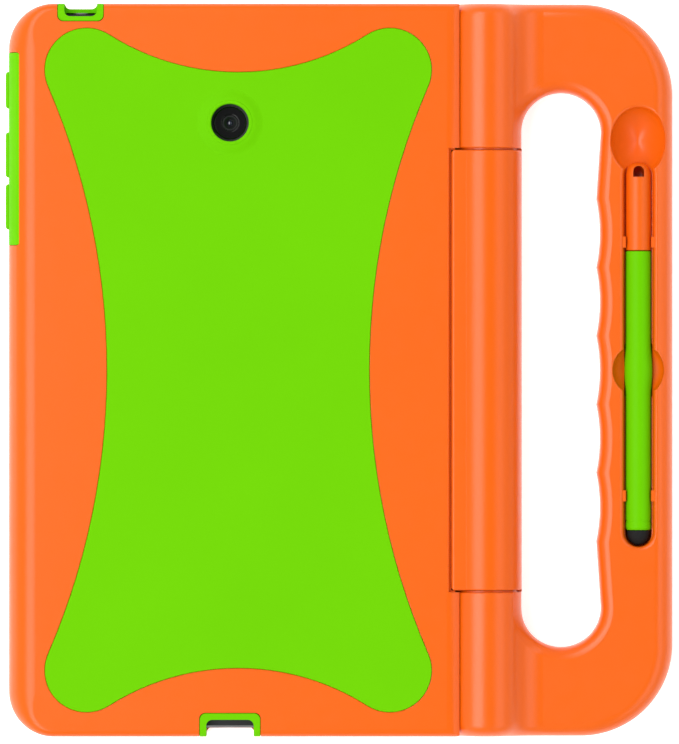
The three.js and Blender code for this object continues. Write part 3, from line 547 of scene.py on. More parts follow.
def plain(outline, level):
    """The one step of an edge that isn't rounded."""
    return [([0] * len(outline), each(level, outline))]


def between(outline, first, last, low, high):
    """Steps from one face to another, each with a rounded or a plain edge."""
    below = edge_steps(each(low, outline), first, -1)[::-1] if low else plain(outline, first)
    above = edge_steps(each(high, outline), last, 1) if high else plain(outline, last)
    return below + above


def slab(name, outline, z0, z1, low=0, high=0):
    """An outline raised from z0 to z1 with rounded edges."""
    return swept(name, outline, between(outline, z0, z1, low, high))


def lengthways(name, section, y0, y1, low=0, high=0):
    """A section drawn in X and Z, run along Y, with rounded ends."""
    return swept(name, section, between(section, y0, y1, low, high), lambda p, y: (p.x, y, p.y))


def crossways(name, section, x0, x1, low=0):
    """A section drawn in Y and Z, run along X, with a rounded first end."""
    return swept(name, section, between(section, x0, x1, low, 0), lambda p, x: (x, p.x, p.y))


def opening(name, outline, z0, z1, low=0, high=0, floor=0, surface=None):
    """A tool for a hole: low and high are the rims it leaves, floor rounds a blind bottom."""
    below = plain(outline, z0)
    if floor:
        below = edge_steps(each(floor, outline), z0, -1)[::-1]
    elif low:
        below = rim_steps(each(low, outline), z0, -1)[::-1]
    above = rim_steps(each(high, outline), z1, 1, surface) if high else plain(outline, z1)
    return swept(name, outline, below + above)


def turned(name, profile, x, y, sides=96):
    """A profile of (radius, height) turned about the vertical through x, y."""
    return loft(name, [[(px, py, z) for px, py in circle(x, y, r, sides)] for r, z in profile])


def turned_along(name, profile, x, z, sides=64):
    """A profile of (radius, place along Y) turned about a line along Y."""
    return loft(name, [[(px, y, pz) for px, pz in circle(x, z, r, sides)] for r, y in profile])


def rod(name, radius, y0, y1, x=AXIS_X, z=AXIS_Z, sides=64):
    """A plain round bar along Y, on the hinge's axis unless another is given."""
    return turned_along(name, [(radius, y0), (radius, y1)], x, z, sides)


def post(name, radius, z0, z1, x, y, sides=48):
    """A plain upright round bar."""
    return turned(name, [(radius, z0), (radius, z1)], x, y, sides)


def block(name, x0, x1, y0, y1, z0, z1):
    """A plain box."""
    start()
    low, high = place((x0, y0, z0)), place((x1, y1, z1))
    bpy.ops.mesh.primitive_cube_add(size=1, location=(low + high) / 2, scale=high - low)
    piece = bpy.context.object
    piece.name = name
    bpy.ops.object.transform_apply(location=True, rotation=True, scale=True)
    return piece


def smooth_step(share):
    """A share from 0 to 1 that starts and ends gently."""
    return share * share * (3 - 2 * share)


def finished(piece, nodes, body, finish):
    """Shade a piece, give it its material, tie it to its body and hide the CAD nodes it stands
    for.
    """
    take(piece)
    bpy.ops.object.shade_smooth_by_angle(angle=math.radians(SMOOTH_ANGLE))
    modifier = piece.modifiers.new("normals", "WEIGHTED_NORMAL")
    modifier.keep_sharp = True
    bpy.ops.object.modifier_apply(modifier=modifier.name)
    piece.data.materials.clear()
    piece.data.materials.append(finish)
    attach(piece, body)
    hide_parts(*nodes)


# Forms of the case


def cornered(near, far, corner, steps):
    """Plan of the case or handle, its two corners on the far side rounded.

    With it, how far each point belongs to the far side, from 0 to 1.
    """
    side = 1 if far > near else -1
    x, y, begin = far - side * corner, side * (CASE_END - corner), -90 * side
    first = arc(x, -y, corner, begin, begin + 90, steps)
    second = arc(x, y, corner, begin + 90, begin + 180, steps)
    share = [smooth_step(i / steps) for i in range(steps + 1)]
    ends = [(near, side * CASE_END), (near, -side * CASE_END)]
    return ends + first + second, [0, 0] + share + share[::-1]


def graded(near, far, shares):
    """Sizes in millimetres between two in metres, by each point's share."""
    return [(near + (far - near) * share) / MM for share in shares]


def case_form(name, z0, z1):
    """The case's outer form between two heights, without its pockets."""
    sizes = bpy.context.scene.case_sizes
    outline, left = cornered(AXIS_X + BARREL * 2, CASE_LEFT, CASE_CORNER, steps=24)
    low = high = 0
    if z0 < PARTING:
        low = graded(sizes.front_edge, sizes.front_round, left)
    if z1 > PARTING + PAST:
        high = graded(sizes.end_round, sizes.back_round, left)
    return slab(name, outline, z0, z1, low, high)


def shoulder_tool():
    """What is taken off the hinge side: all past the rounded shoulder beside the knuckles."""
    radius = bpy.context.scene.case_sizes.shoulder_round / MM
    x, z = SHOULDER_X - SHOULDER_START, CASE_BACK - radius
    far = AXIS_X + BARREL * 4
    end = math.degrees(math.acos(SHOULDER_START / radius))
    section = (
        [(far, -PAST), (far, ABOVE), (x, ABOVE)]
        + arc(x, z, radius, SHOULDER_TURN, end, steps=12)
        + [(SHOULDER_X, -PAST)]
    )
    return lengthways("shoulder tool", section, -CASE_END - PAST, CASE_END + PAST)


def knuckle_pockets():
    """The two rounds that the handle's knuckles turn in."""
    return [rod("knuckle pocket", POCKET, y0, y1, sides=128)
            for y0, y1 in both_ends(COVER_HALF, CASE_END + PAST)]


def liner_space(name, grow, z0, z1):
    """The room of the liner's tray."""
    x, y = LINER_X + grow, LINER_Y + grow
    return slab(name, rounded_rectangle(-x, x, -y, y, LINER_CORNER + grow), z0, z1)


def hourglass(grow):
    """Outline of the window: four lobes joined by hollow arcs, moved outwards by grow."""
    lobe_x, lobe_y = WINDOW_REACH_X - WINDOW_LOBE, WINDOW_REACH_Y - WINDOW_LOBE

    def hollow(near, far, reach, waist):
        return ((near - waist) ** 2 + far**2 - WINDOW_LOBE**2) / (2 * (reach - waist))

    side_radius = hollow(lobe_x, lobe_y, WINDOW_REACH_X, WINDOW_WAIST_X)
    end_radius = hollow(lobe_y, lobe_x, WINDOW_REACH_Y, WINDOW_WAIST_Y)
    side_x, end_y = WINDOW_WAIST_X + side_radius, WINDOW_WAIST_Y + end_radius
    to_side = math.degrees(math.atan2(-lobe_y, side_x - lobe_x))
    to_end = math.degrees(math.atan2(end_y - lobe_y, -lobe_x))
    quarter = (
        arc(side_x, 0, side_radius - grow, 180, to_side + 180, steps=14)
        + arc(lobe_x, lobe_y, WINDOW_LOBE + grow, to_side, to_end, steps=26)[1:]
        + arc(0, end_y, end_radius - grow, to_end - 180, -90, steps=12)[1:]
    )
    half = quarter + [(-x, y) for x, y in quarter[::-1]][1:]
    outline = half + [(x, -y) for x, y in half[::-1]][1:-1]
    return [(x + WINDOW_X, y) for x, y in outline]


def port_notch(name, x, width, reach, end, z0=-PAST):
    """The notch round a port, open at the case's end and back."""
    outer = CASE_END + PORT_CORNER + PAST
    inner = CASE_END - reach
    y0, y1 = (inner, outer) if end > 0 else (-outer, -inner)
    half = width / 2
    return slab(name, rounded_rectangle(x - half, x + half, y0, y1, PORT_CORNER), z0, ABOVE)


def port_rooms(grow):
    """Rooms of the liner's frames round the charging port and the headphone port."""
    sides, low = 2 * (CHARGE_FRAME + grow), PARTING - PAST
    charge = CHARGE_REACH + CHARGE_FRAME + grow
    jack = JACK_REACH + JACK_FRAME + grow
    return (port_notch("charge notch", 0, CHARGE_WIDTH + sides, charge, -1, low),
            port_notch("jack notch", JACK_X, JACK_WIDTH + sides, jack, 1, low))


def strip_space(grow):
    """Room of the liner's button strip in the shell's left side."""
    half = STRIP_LENGTH / 2 + grow
    outline = rounded_rectangle(
        STRIP_Y - half, STRIP_Y + half, STRIP_LOW - grow, STRIP_HIGH + grow, STRIP_CORNER + grow
    )
    return crossways("strip", outline, CASE_LEFT - PAST, -LINER_X + STRIP_LAP)


def pad_room(node, grow, x0, x1, end=0):
    """A button pad's outline run from x0 to x1, its outer end rounded."""
    low, high = measured(node)
    y = (low.y + high.y) / 2
    half = (high.y - low.y - 2 * PAD_FLANGE) / 2 + grow
    rise = (high.z - low.z - 2 * PAD_FLANGE) / 2 + grow
    outline = rounded_rectangle(
        y - half, y + half, TABLET_MID - rise, TABLET_MID + rise, PAD_CORNER
    )
    return crossways("pad", outline, x0, x1, end)


def cover_section(edge, bottom):
    """Section of the hinge cover: a flat by the case, and the barrel's back half."""
    flat = CASE_BACK - AXIS_Z
    reach = math.sqrt((BARREL + SWEEP) ** 2 - (flat + SWEEP) ** 2)
    meet = math.degrees(math.atan2(flat + SWEEP, -reach))
    begin = math.degrees(math.asin((bottom - AXIS_Z) / BARREL))
    left = AXIS_X - BARREL
    return (
        [(left, bottom)]
        + arc(AXIS_X, AXIS_Z, BARREL, begin, meet, steps=40)
        + arc(AXIS_X - reach, CASE_BACK + SWEEP, SWEEP, meet - 180, -90, steps=10)[1:]
        + arc(left + edge, CASE_BACK - edge, edge, 90, 180, steps=8)
    )


def cover_plan(grow):
    """Room of the cover in plan, with rounded corners on the case's side."""
    left, far, half = AXIS_X - BARREL - grow, AXIS_X + BARREL * 5, COVER_HALF + grow
    outline = rounded_rectangle(left, far, -half, half, COVER_CORNER + grow)
    return slab("cover plan", outline, -PAST, ABOVE + PAST)


def hollowed(half, z0, z1):
    """A half of the middle barrel with its hollow, its screw posts and the shafts' holes."""
    inner, outer = COVER_HALF - BARREL_END, COVER_HALF + PAST
    cut(half, rod("hollow", BARREL - BARREL_WALL, -inner, inner))
    for y in COVER_SCREWS:
        join(half, post("post", POST, z0, z1, AXIS_X, y))
    return cut(half, rod("shaft hole", SHAFT_HOLE, -outer, outer))


def trough():
    """The front half of the middle barrel."""
    left = LINER_X + FIT + TROUGH_LAP
    section = (
        [(left, PARTING), (SHOULDER_X + FIT, PARTING), (SHOULDER_X + FIT, 0)]
        + arc(AXIS_X, AXIS_Z, BARREL, -90, 0, steps=24)
        + [(left, AXIS_Z)]
    )
    half = lengthways("trough", section, -COVER_HALF - BOSS, COVER_HALF + BOSS)
    hollowed(half, BARREL_WALL / 2, AXIS_Z)
    for y0, y1 in both_ends(COVER_HALF, COVER_HALF + PAST):
        cut(half, rod("boss room", BARREL - BOSS_STEP + FIT, y0, y1))
    for y in COVER_SCREWS:
        cut(half, *screw_room(AXIS_X, y, COVER_SCREW))
    return half


def cover_recess():
    """The room over the middle barrel, with the rounded edge that the shell has there."""
    edge = bpy.context.scene.case_sizes.cover_edge / MM
    side = AXIS_X - BARREL - SEAM
    far = AXIS_X + BARREL * 4
    ledge, close = CASE_BACK - LEDGE, AXIS_X - BARREL - LEDGE_GAP
    section = (
        [(side, ledge), (close, ledge), (close, AXIS_Z)]
        + [(far, AXIS_Z), (far, ABOVE), (side - edge, ABOVE)]
        + arc(side - edge, CASE_BACK - edge, edge, LEDGE_TURN, 0, steps=8)
    )
    recess = lengthways("cover recess", section, -KNUCKLE_INNER, KNUCKLE_INNER)
    return keep(recess, cover_plan(KNUCKLE_INNER - COVER_HALF + edge))


def seam_floors():
    """Low steps that close the seams between the cover's ends and the shell."""
    left, near = AXIS_X - BARREL, COVER_HALF + SEAM_CLEAR
    return [block("seam floor", left - SEAM - SEAM_CLEAR, left + SEAM_REACH, y0, y1,
                  AXIS_Z, CASE_BACK - LEDGE)
            for y0, y1 in both_ends(near, near + SEAM)]


def screw_room(x, y, length):
    """The recess and hole of a screw that goes in from the front."""
    head = post("head recess", SCREW_RECESS, -PAST, SCREW_SINK, x, y)
    hole = post("screw hole", SCREW_BORE, SCREW_SINK - PAST, SCREW_SEAT + length, x, y)
    return head, hole


# Materials


def feed(tree, socket, value):
    """Set a socket, or link it where the value is another socket."""
    if isinstance(value, bpy.types.NodeSocket):
        tree.links.new(value, socket)
    else:
        socket.default_value = value


def wired(tree, kind, **inputs):
    """Add a node and set or link its inputs by name."""
    node = tree.nodes.new(kind)
    for name, value in inputs.items():
        feed(tree, node.inputs[name.replace("_", " ")], value)
    return node


def noise(tree, where, scale, detail, roughness):
    """A noise pattern on the piece's own place."""
    return wired(tree, "ShaderNodeTexNoise", Vector=where, Scale=scale,
                 Detail=detail, Roughness=roughness).outputs["Fac"]


def ranged(tree, value, low, high, to_low, to_high):
    """A value moved from one range to another."""
    return wired(tree, "ShaderNodeMapRange", Value=value, From_Min=low, From_Max=high,
                 To_Min=to_low, To_Max=to_high).outputs["Result"]


def maths(tree, operation, first, second):
    """One sum."""
    node = tree.nodes.new("ShaderNodeMath")
    node.operation = operation
    for socket, value in zip(node.inputs, (first, second)):
        feed(tree, socket, value)
    return node.outputs[0]


def spread(tree, pattern, reach, amount):
    """A pattern, within reach of a half, moved to plus or minus an amount."""
    below = maths(tree, "MULTIPLY", amount, -1.0)
    return ranged(tree, pattern, 0.5 - reach, 0.5 + reach, below, amount)


def moulded_group():
    """Fine grain, slight mottling and handling marks of a moulded surface."""
    tree = bpy.data.node_groups.new("Moulded surface", "ShaderNodeTree")
    sockets = {"INPUT": ("Colour", "Mottle", "Roughness", "Variation", "Grain Height"),
               "OUTPUT": ("Colour", "Roughness", "Height")}
    for way, labels in sockets.items():
        for label in labels:
            kind = "NodeSocketColor" if label == "Colour" else "NodeSocketFloat"
            tree.interface.new_socket(name=label, in_out=way, socket_type=kind)
    given, result = tree.nodes.new("NodeGroupInput"), tree.nodes.new("NodeGroupOutput")
    where = tree.nodes.new("ShaderNodeTexCoord").outputs["Object"]
    broad = noise(tree, where, MOTTLE_SCALE, detail=2.0, roughness=0.5)
    fine = noise(tree, where, MARK_SCALE, detail=4.0, roughness=0.6)
    grain = noise(tree, where, GRAIN_SCALE, detail=2.0, roughness=0.6)
    bright = maths(tree, "ADD", spread(tree, broad, MOTTLE_REACH, given.outputs["Mottle"]), 1.0)
    tint = wired(tree, "ShaderNodeHueSaturation", Color=given.outputs["Colour"], Value=bright)
    feed(tree, result.inputs["Colour"], tint.outputs["Color"])
    marks = spread(tree, fine, MARK_REACH, given.outputs["Variation"])
    feed(tree, result.inputs["Roughness"], maths(tree, "ADD", given.outputs["Roughness"], marks))
    height = maths(tree, "MULTIPLY", grain, given.outputs["Grain Height"])
    feed(tree, result.inputs["Height"], height)
    return tree


def plastic(name, base, roughness, variation=0.02, mottle=0.015, grain=None, **fixed):
    """A moulded material: the shared surface feeds what varies, the rest is set on the shader."""
    material = bpy.data.materials.get(name)
    if material:
        return material
    material = bpy.data.materials.new(name)
    material.use_nodes = True
    tree = material.node_tree
    shader = tree.nodes["Principled BSDF"]
    surface = tree.nodes.new("ShaderNodeGroup")
    surface.node_tree = bpy.data.node_groups.get("Moulded surface") or moulded_group()
    depth = bpy.context.scene.finishes.grain if grain is None else grain
    given = {"Colour": base, "Mottle": mottle, "Roughness": roughness,
             "Variation": variation, "Grain Height": depth}
    for label, value in given.items():
        surface.inputs[label].default_value = value
    shader.inputs["Base Color"].default_value = base
    if mottle:
        tree.links.new(surface.outputs["Colour"], shader.inputs["Base Color"])
    tree.links.new(surface.outputs["Roughness"], shader.inputs["Roughness"])
    if depth:
        bump = wired(tree, "ShaderNodeBump", Height=surface.outputs["Height"], Distance=1.0)
        tree.links.new(bump.outputs["Normal"], shader.inputs["Normal"])
    for label, value in fixed.items():
        shader.inputs[label.replace("_", " ")].default_value = value
    return material


def case_orange():
    """Satin plastic of the shell, frame and cover."""
    return plastic("Orange case plastic", bpy.context.scene.finishes.orange, roughness=0.3,
                   Specular_IOR_Level=0.32)


def handle_orange():
    """Satin plastic of the handle."""
    return plastic("Orange handle plastic", bpy.context.scene.finishes.orange, roughness=0.3,
                   Specular_IOR_Level=0.42)


def liner_green():
    """Matt silicone of the liner."""
    return plastic("Green silicone", bpy.context.scene.finishes.green, roughness=0.6,
                   variation=0.04, Specular_IOR_Level=0.04)


def metal():
    """Plain bright steel."""
    return plastic("Bright steel", (0.6, 0.61, 0.63, 1), roughness=0.28, variation=0.06,
                   mottle=0.03, Metallic=1.0)


# Operators


class TABLETCASE_OT_shell(bpy.types.Operator):
    """Model the hard rear shell"""

    bl_idname = "tablet_case.shell"
    bl_label = "Rear shell"

    def execute(self, context):
        sizes = context.scene.case_sizes
        shell = case_form("back_shell", PARTING, CASE_BACK)
        cut(shell, shoulder_tool(), *knuckle_pockets())
        join(shell, trough())
        cut(shell, cover_recess(), liner_space("tray room", FIT, PARTING - PAST, LINER_TOP + FIT))
        join(shell, *seam_floors())
        rim = sizes.window_rim / MM
        cut(
            shell,
            opening("window", hourglass(0), LINER_TOP - PAST, CASE_BACK, high=rim),
            strip_space(FIT),
            *port_rooms(FIT),
        )
        finished(shell, ["rear_shell"], "case", case_orange())
        return {"FINISHED"}


class TABLETCASE_OT_bezel(bpy.types.Operator):
    """Model the front frame that holds the tablet in"""

    bl_idname = "tablet_case.bezel"
    bl_label = "Front frame"

    def execute(self, context):
        bevel = context.scene.case_sizes.screen_bevel / MM
        bezel = case_form("screen_bezel", 0, PARTING - FIT)
        cut(bezel, shoulder_tool(), *knuckle_pockets())
        x, y = TABLET_HIGH.x - LIP_COVER, TABLET_HIGH.y - LIP_COVER
        outline = rounded_rectangle(-x, x, -y, y, SCREEN_CORNER)
        cut(
            bezel,
            opening("screen", outline, 0, PARTING + PAST, low=bevel),
            liner_space("tray room", FIT, FRONT_LIP, PARTING + PAST),
            port_notch("charge notch", 0, CHARGE_WIDTH, CASE_END - TABLET_HIGH.y, -1),
            port_notch("jack notch", JACK_X, JACK_WIDTH, CASE_END - LINER_Y, 1),
        )
        finished(bezel, ["front_frame"], "case", case_orange())
        return {"FINISHED"}


class TABLETCASE_OT_liner(bpy.types.Operator):
    """Model the soft liner with its panel, camera ring, button strip and port frames"""

    bl_idname = "tablet_case.liner"
    bl_label = "Silicone liner"

    def execute(self, context):
        sizes = context.scene.case_sizes
        liner = liner_space("silicone_liner", 0, TABLET_LOW.z, LINER_TOP)
        gap, edge = sizes.panel_gap / MM, sizes.panel_edge / MM
        join(liner, slab("panel", hourglass(-gap), LINER_TOP - PAST, PANEL_TOP, high=edge))
        join(liner, self.mound(sizes))
        flush = case_form("flush parts", PARTING + FIT, CASE_BACK)
        join(liner, keep(flush, join(strip_space(0), *port_rooms(0))))
        x, y = TABLET_HIGH.x + FIT, TABLET_HIGH.y + FIT
        outline = rounded_rectangle(-x, x, -y, y, TABLET_CORNER + FIT)
        cut(liner, slab("tablet room", outline, -PAST, TABLET_HIGH.z + FIT, high=TABLET_EDGE))
        top = PANEL_TOP + sizes.mound_rise / MM
        ring = circle(0, CAMERA_Y, CAMERA_HOLE, sides=96)
        cut(
            liner,
            opening("camera hole", ring, TABLET_HIGH.z - PAST, top, high=CAMERA_EDGE),
            port_notch("charge mouth", 0, CHARGE_WIDTH, CHARGE_REACH, -1),
            port_notch("jack mouth", JACK_X, JACK_WIDTH, JACK_REACH, 1, JACK_SLIT),
            port_notch("jack end", JACK_X, JACK_WIDTH, CASE_END - LINER_Y, 1),
            rod("jack hole", JACK_HOLE, LINER_Y - JACK_WALL, CASE_END + PAST, JACK_X, TABLET_MID),
        )
        inside = TABLET_LOW.x + PAD_SINK
        for button in BUTTONS:
            node = f"{button}_pad"
            cut(liner, pad_room(node, PAD_GAP, CASE_LEFT - PAST, inside),
                pad_room(node, PAD_FLANGE + PAD_GAP, FLANGE_X, inside))
        finished(liner, ["inner_liner", "charge_port_frame"], "case", liner_green())
        return {"FINISHED"}

    def mound(self, sizes, steps=12):
        """The low ring that rises to a lip round the camera."""
        lip = CAMERA_HOLE + sizes.lip_width / MM
        top = PANEL_TOP + sizes.mound_rise / MM
        rim = arc(lip - LIP_ROUND, top - LIP_ROUND, LIP_ROUND, 45, 90, steps=6)
        inner, height = rim[0][0] - MOUND_RADIUS, rim[0][1] - PANEL_TOP
        slope = [(MOUND_RADIUS, PANEL_TOP - PAST)]
        for share in [i / steps for i in range(steps)]:
            rise = PANEL_TOP - MOUND_SINK + height * smooth_step(share)
            slope.append((MOUND_RADIUS + inner * share, rise))
        return turned("camera mound", slope + rim, 0, CAMERA_Y)


class TABLETCASE_OT_pads(bpy.types.Operator):
    """Model the three button pads of the liner's strip"""

    bl_idname = "tablet_case.pads"
    bl_label = "Button pads"

    def execute(self, context):
        edge = context.scene.case_sizes.pad_edge / MM
        for button in BUTTONS:
            node = f"{button}_pad"
            low, high = measured(node)
            pad = pad_room(node, 0, low.x, high.x, edge)
            pad.name = f"{button}_button_pad"
            join(pad, pad_room(node, PAD_FLANGE, high.x - PAD_FLANGE, high.x))
            finished(pad, [node], f"{button}_button", liner_green())
        return {"FINISHED"}


class TABLETCASE_OT_hinge_cover(bpy.types.Operator):
    """Model the cover over the middle of the hinge barrel"""

    bl_idname = "tablet_case.hinge_cover"
    bl_label = "Hinge cover"

    def execute(self, context):
        sizes = context.scene.case_sizes
        section = cover_section(sizes.cover_edge / MM, AXIS_Z + FIT)
        end = sizes.cover_end / MM
        cover = lengthways("barrel_cover", section, -COVER_HALF, COVER_HALF, end, end)
        keep(cover, cover_plan(0))
        hollowed(cover, AXIS_Z + FIT, AXIS_Z + BARREL - BARREL_WALL / 2)
        for y in COVER_SCREWS:
            cut(cover, post("screw hole", SCREW_BORE, 0, SCREW_SEAT + COVER_SCREW, AXIS_X, y))
        finished(cover, ["hinge_cover"], "case", case_orange())
        return {"FINISHED"}


def cove_place():
    """Middle of the hollow that runs the barrel into the flat arm."""
    height = HANDLE_TOP - AXIS_Z
    reach = math.sqrt((BARREL + COVE) ** 2 - (height + COVE) ** 2)
    return AXIS_X + reach, HANDLE_TOP + COVE


def handle_surface(x):
    """Height of the handle's back at a distance from the barrel."""
    cove_x, cove_z = cove_place()
    return cove_z - math.sqrt(COVE**2 - (cove_x - x) ** 2) if x < cove_x else HANDLE_TOP


def knuckle(sizes):
    """The upper knuckle with the hollow that runs into the arm, a section run along Y."""
    cove_x, cove_z = cove_place()
    meet = math.degrees(math.atan2(cove_z - AXIS_Z, cove_x - AXIS_X))
    heel = 180 + math.degrees(math.acos(HEEL / BARREL))
    arm, front, inner = sizes.arm_edge / MM, sizes.front_edge / MM, sizes.knuckle_edge / MM
    points = [
        (AXIS_X - HEEL, 0, HEEL_LEAN, 1, front, inner),
        (INSIDE_X, 0, 0, 1, front, inner),
        (INSIDE_X, INSIDE_Z, 0, 0, SUNK, SUNK),
        (cove_x, INSIDE_Z, 0, 0, SUNK, SUNK),
    ]
    for i, (dx, dz) in enumerate(turns(-90, meet - 180, steps=16)):
        height = cove_z + COVE * dz - (0 if i else SUNK)
        points.append((cove_x + COVE * dx, height, dx, dz, arm, inner))
    steps = 64
    for i, (dx, dz) in enumerate(turns(meet, heel, steps)[1:], 1):
        turn = (meet + (heel - meet) * i / steps - UNDER_START) / UNDER_SPAN
        outer = arm + (front - arm) * smooth_step(min(max(turn, 0), 1))
        points.append((AXIS_X + BARREL * dx, AXIS_Z + BARREL * dz, -dx, -dz, outer, inner))

    def ring(sizes_at, end, side, c, s):
        out = []
        for x, z, dx, dz, *ends in points:
            inward, along = ends[sizes_at] * (1 - s), ends[sizes_at] * (1 - c)
            out.append((x + dx * inward, end - side * along, z + dz * inward))
        return out

    quarter = turns(0, 90, EDGE_STEPS)
    rings = [ring(1, KNUCKLE_INNER, -1, *turn) for turn in quarter]
    return loft("knuckle", rings + [ring(0, CASE_END, 1, *turn) for turn in quarter[::-1]])


def grip_outline(depth, count):
    """Outline of the grip opening, with finger grooves along its outer side."""
    shoulder = count * GROOVE_PITCH / 2
    radius = GROOVE_PITCH**2 / (8 * depth) + depth / 2
    spread = math.degrees(math.asin(GROOVE_PITCH / 2 / radius))
    x = OPENING_NEAR + OPENING_RADIUS
    outline = arc(x, -OPENING_Y, OPENING_RADIUS, 180, 360, steps=40)
    for i in range(count):
        y = (i + 0.5) * GROOVE_PITCH - shoulder
        groove = arc(GRIP_X + depth - radius, y, radius, -spread, spread, steps=14)
        outline += groove[1:] if i else groove
    return outline + arc(x, OPENING_Y, OPENING_RADIUS, 0, 180, steps=40)


def channel_level(name, half, z0, z1, rim=0, floor=0, steps=24):
    """A tool for one level of the stylus channel, a slot with round ends."""
    low, high = TIP_LOW.y - TIP_GAP + half, CAP_HIGH.y - STYLUS_RADIUS
    outline = arc(STYLUS_X, low, half, 180, 360, steps) + arc(STYLUS_X, high, half, 0, 180, steps)
    return opening(name, outline, z0, z1, high=rim, floor=floor)


def bowl(name, y, reach_x, reach_y, depth, rim, slope, sides=96):
    """A tool for a finger hollow over the stylus: an oval bowl with a soft rim."""
    wall = HANDLE_TOP - rim
    rings = []

    def ring(share, out, z):
        dx, dy = reach_x * share + out, reach_y * share + out
        rings.append([(STYLUS_X + dx * c, y + dy * s, z) for c, s in circle(0, 0, 1, sides)])

    for c, s in turns(0, 90, steps=16)[1:]:
        ring(s**slope, 0, wall - (depth - rim) * c**slope)
    for c, s in turns(0, RIM_TURN, RIM_STEPS)[1:]:
        ring(1, rim * (1 - c), wall + rim * s)
    ring(1, rim + FLARE, HANDLE_TOP + CLEAR)
    ring(1, rim + FLARE, ABOVE)
    return loft(name, rings)


def lug(side, y):
    """A small lug at the channel's mouth that the stylus snaps under."""
    tip = STYLUS_RADIUS - LUG_BITE
    section = [(STYLUS_X + side * (tip + x), HANDLE_TOP + z) for x, z in LUG_SECTION]
    if side > 0:
        section = section[:1] + section[:0:-1]
    half = LUG_LENGTH / 2
    return lengthways("lug", section, y - half, y + half, LUG_EDGE, LUG_EDGE)


class TABLETCASE_OT_handle(bpy.types.Operator):
    """Model the two halves of the handle with knuckles, grip and stylus channel"""

    bl_idname = "tablet_case.handle"
    bl_label = "Handle"

    def execute(self, context):
        sizes = context.scene.handle_sizes
        outline, outer = cornered(AXIS_X, HANDLE_RIGHT, HANDLE_CORNER, steps=48)
        back = slab("handle_back", outline, 0, HANDLE_TOP,
                    graded(sizes.front_edge, sizes.front_side, outer),
                    graded(sizes.arm_edge, sizes.side_edge, outer))
        upper = knuckle(sizes)
        lower = mirrored(upper, "lower knuckle")
        cut(back, block("knuckle room", AXIS_X - BARREL * 2, OPENING_NEAR + OPENING_RADIUS,
                        -KNUCKLE_INNER, KNUCKLE_INNER, -PAST, ABOVE))
        for y0, y1 in both_ends(KNUCKLE_INNER - BOSS, KNUCKLE_INNER + PAST):
            join(back, rod("boss", BARREL - BOSS_STEP, y0, y1))
        join(back, upper, lower)
        grip = grip_outline(sizes.groove_depth / MM, sizes.groove_count)
        cut(back, opening("grip", grip, 0, HANDLE_TOP, sizes.opening_front / MM,
                          sizes.opening_rim / MM, surface=handle_surface))
        front_half = copy_of(back, "handle_front")
        far = CASE_END + PAST
        keep(back, block("above", 0, HANDLE_RIGHT + PAST, -far, far, PARTING, ABOVE))
        keep(front_half, block("below", 0, HANDLE_RIGHT + PAST, -far, far, -PAST, PARTING - FIT))

        swell = CRADLE_HALF + context.scene.stylus_sizes.bulge / MM
        cut(
            back,
            channel_level("channel", CHANNEL_HALF, MOUTH_FLOOR, HANDLE_TOP,
                          sizes.channel_rim / MM, CHANNEL_CORNER),
            channel_level("cradle", CRADLE_HALF, HANDLE_TOP - CHANNEL_DEPTH, STYLUS_Z + PAST,
                          floor=CRADLE_HALF - CHANNEL_CORNER),
            rod("swell room", swell, -BULGE_HALF, BULGE_HALF, STYLUS_X, STYLUS_Z),
            bowl("scoop", SCOOP_Y, SCOOP_X, SCOOP_LONG,
                 sizes.scoop_depth / MM, sizes.scoop_rim / MM, SCOOP_SLOPE),
            bowl("dish", 0, DISH_RADIUS, DISH_RADIUS,
                 sizes.dish_depth / MM, sizes.dish_rim / MM, DISH_SLOPE),
        )
        for y in LUG_PLACES:
            join(back, lug(-1, y), lug(1, y))
        for half, node in ((back, "handle_back_half"), (front_half, "handle_front_half")):
            for x, y in HANDLE_SCREWS:
                for end in (1, -1):
                    cut(half, *screw_room(AXIS_X + x, y * end, HANDLE_SCREW))
            finished(half, [node], "handle", handle_orange())
        return {"FINISHED"}


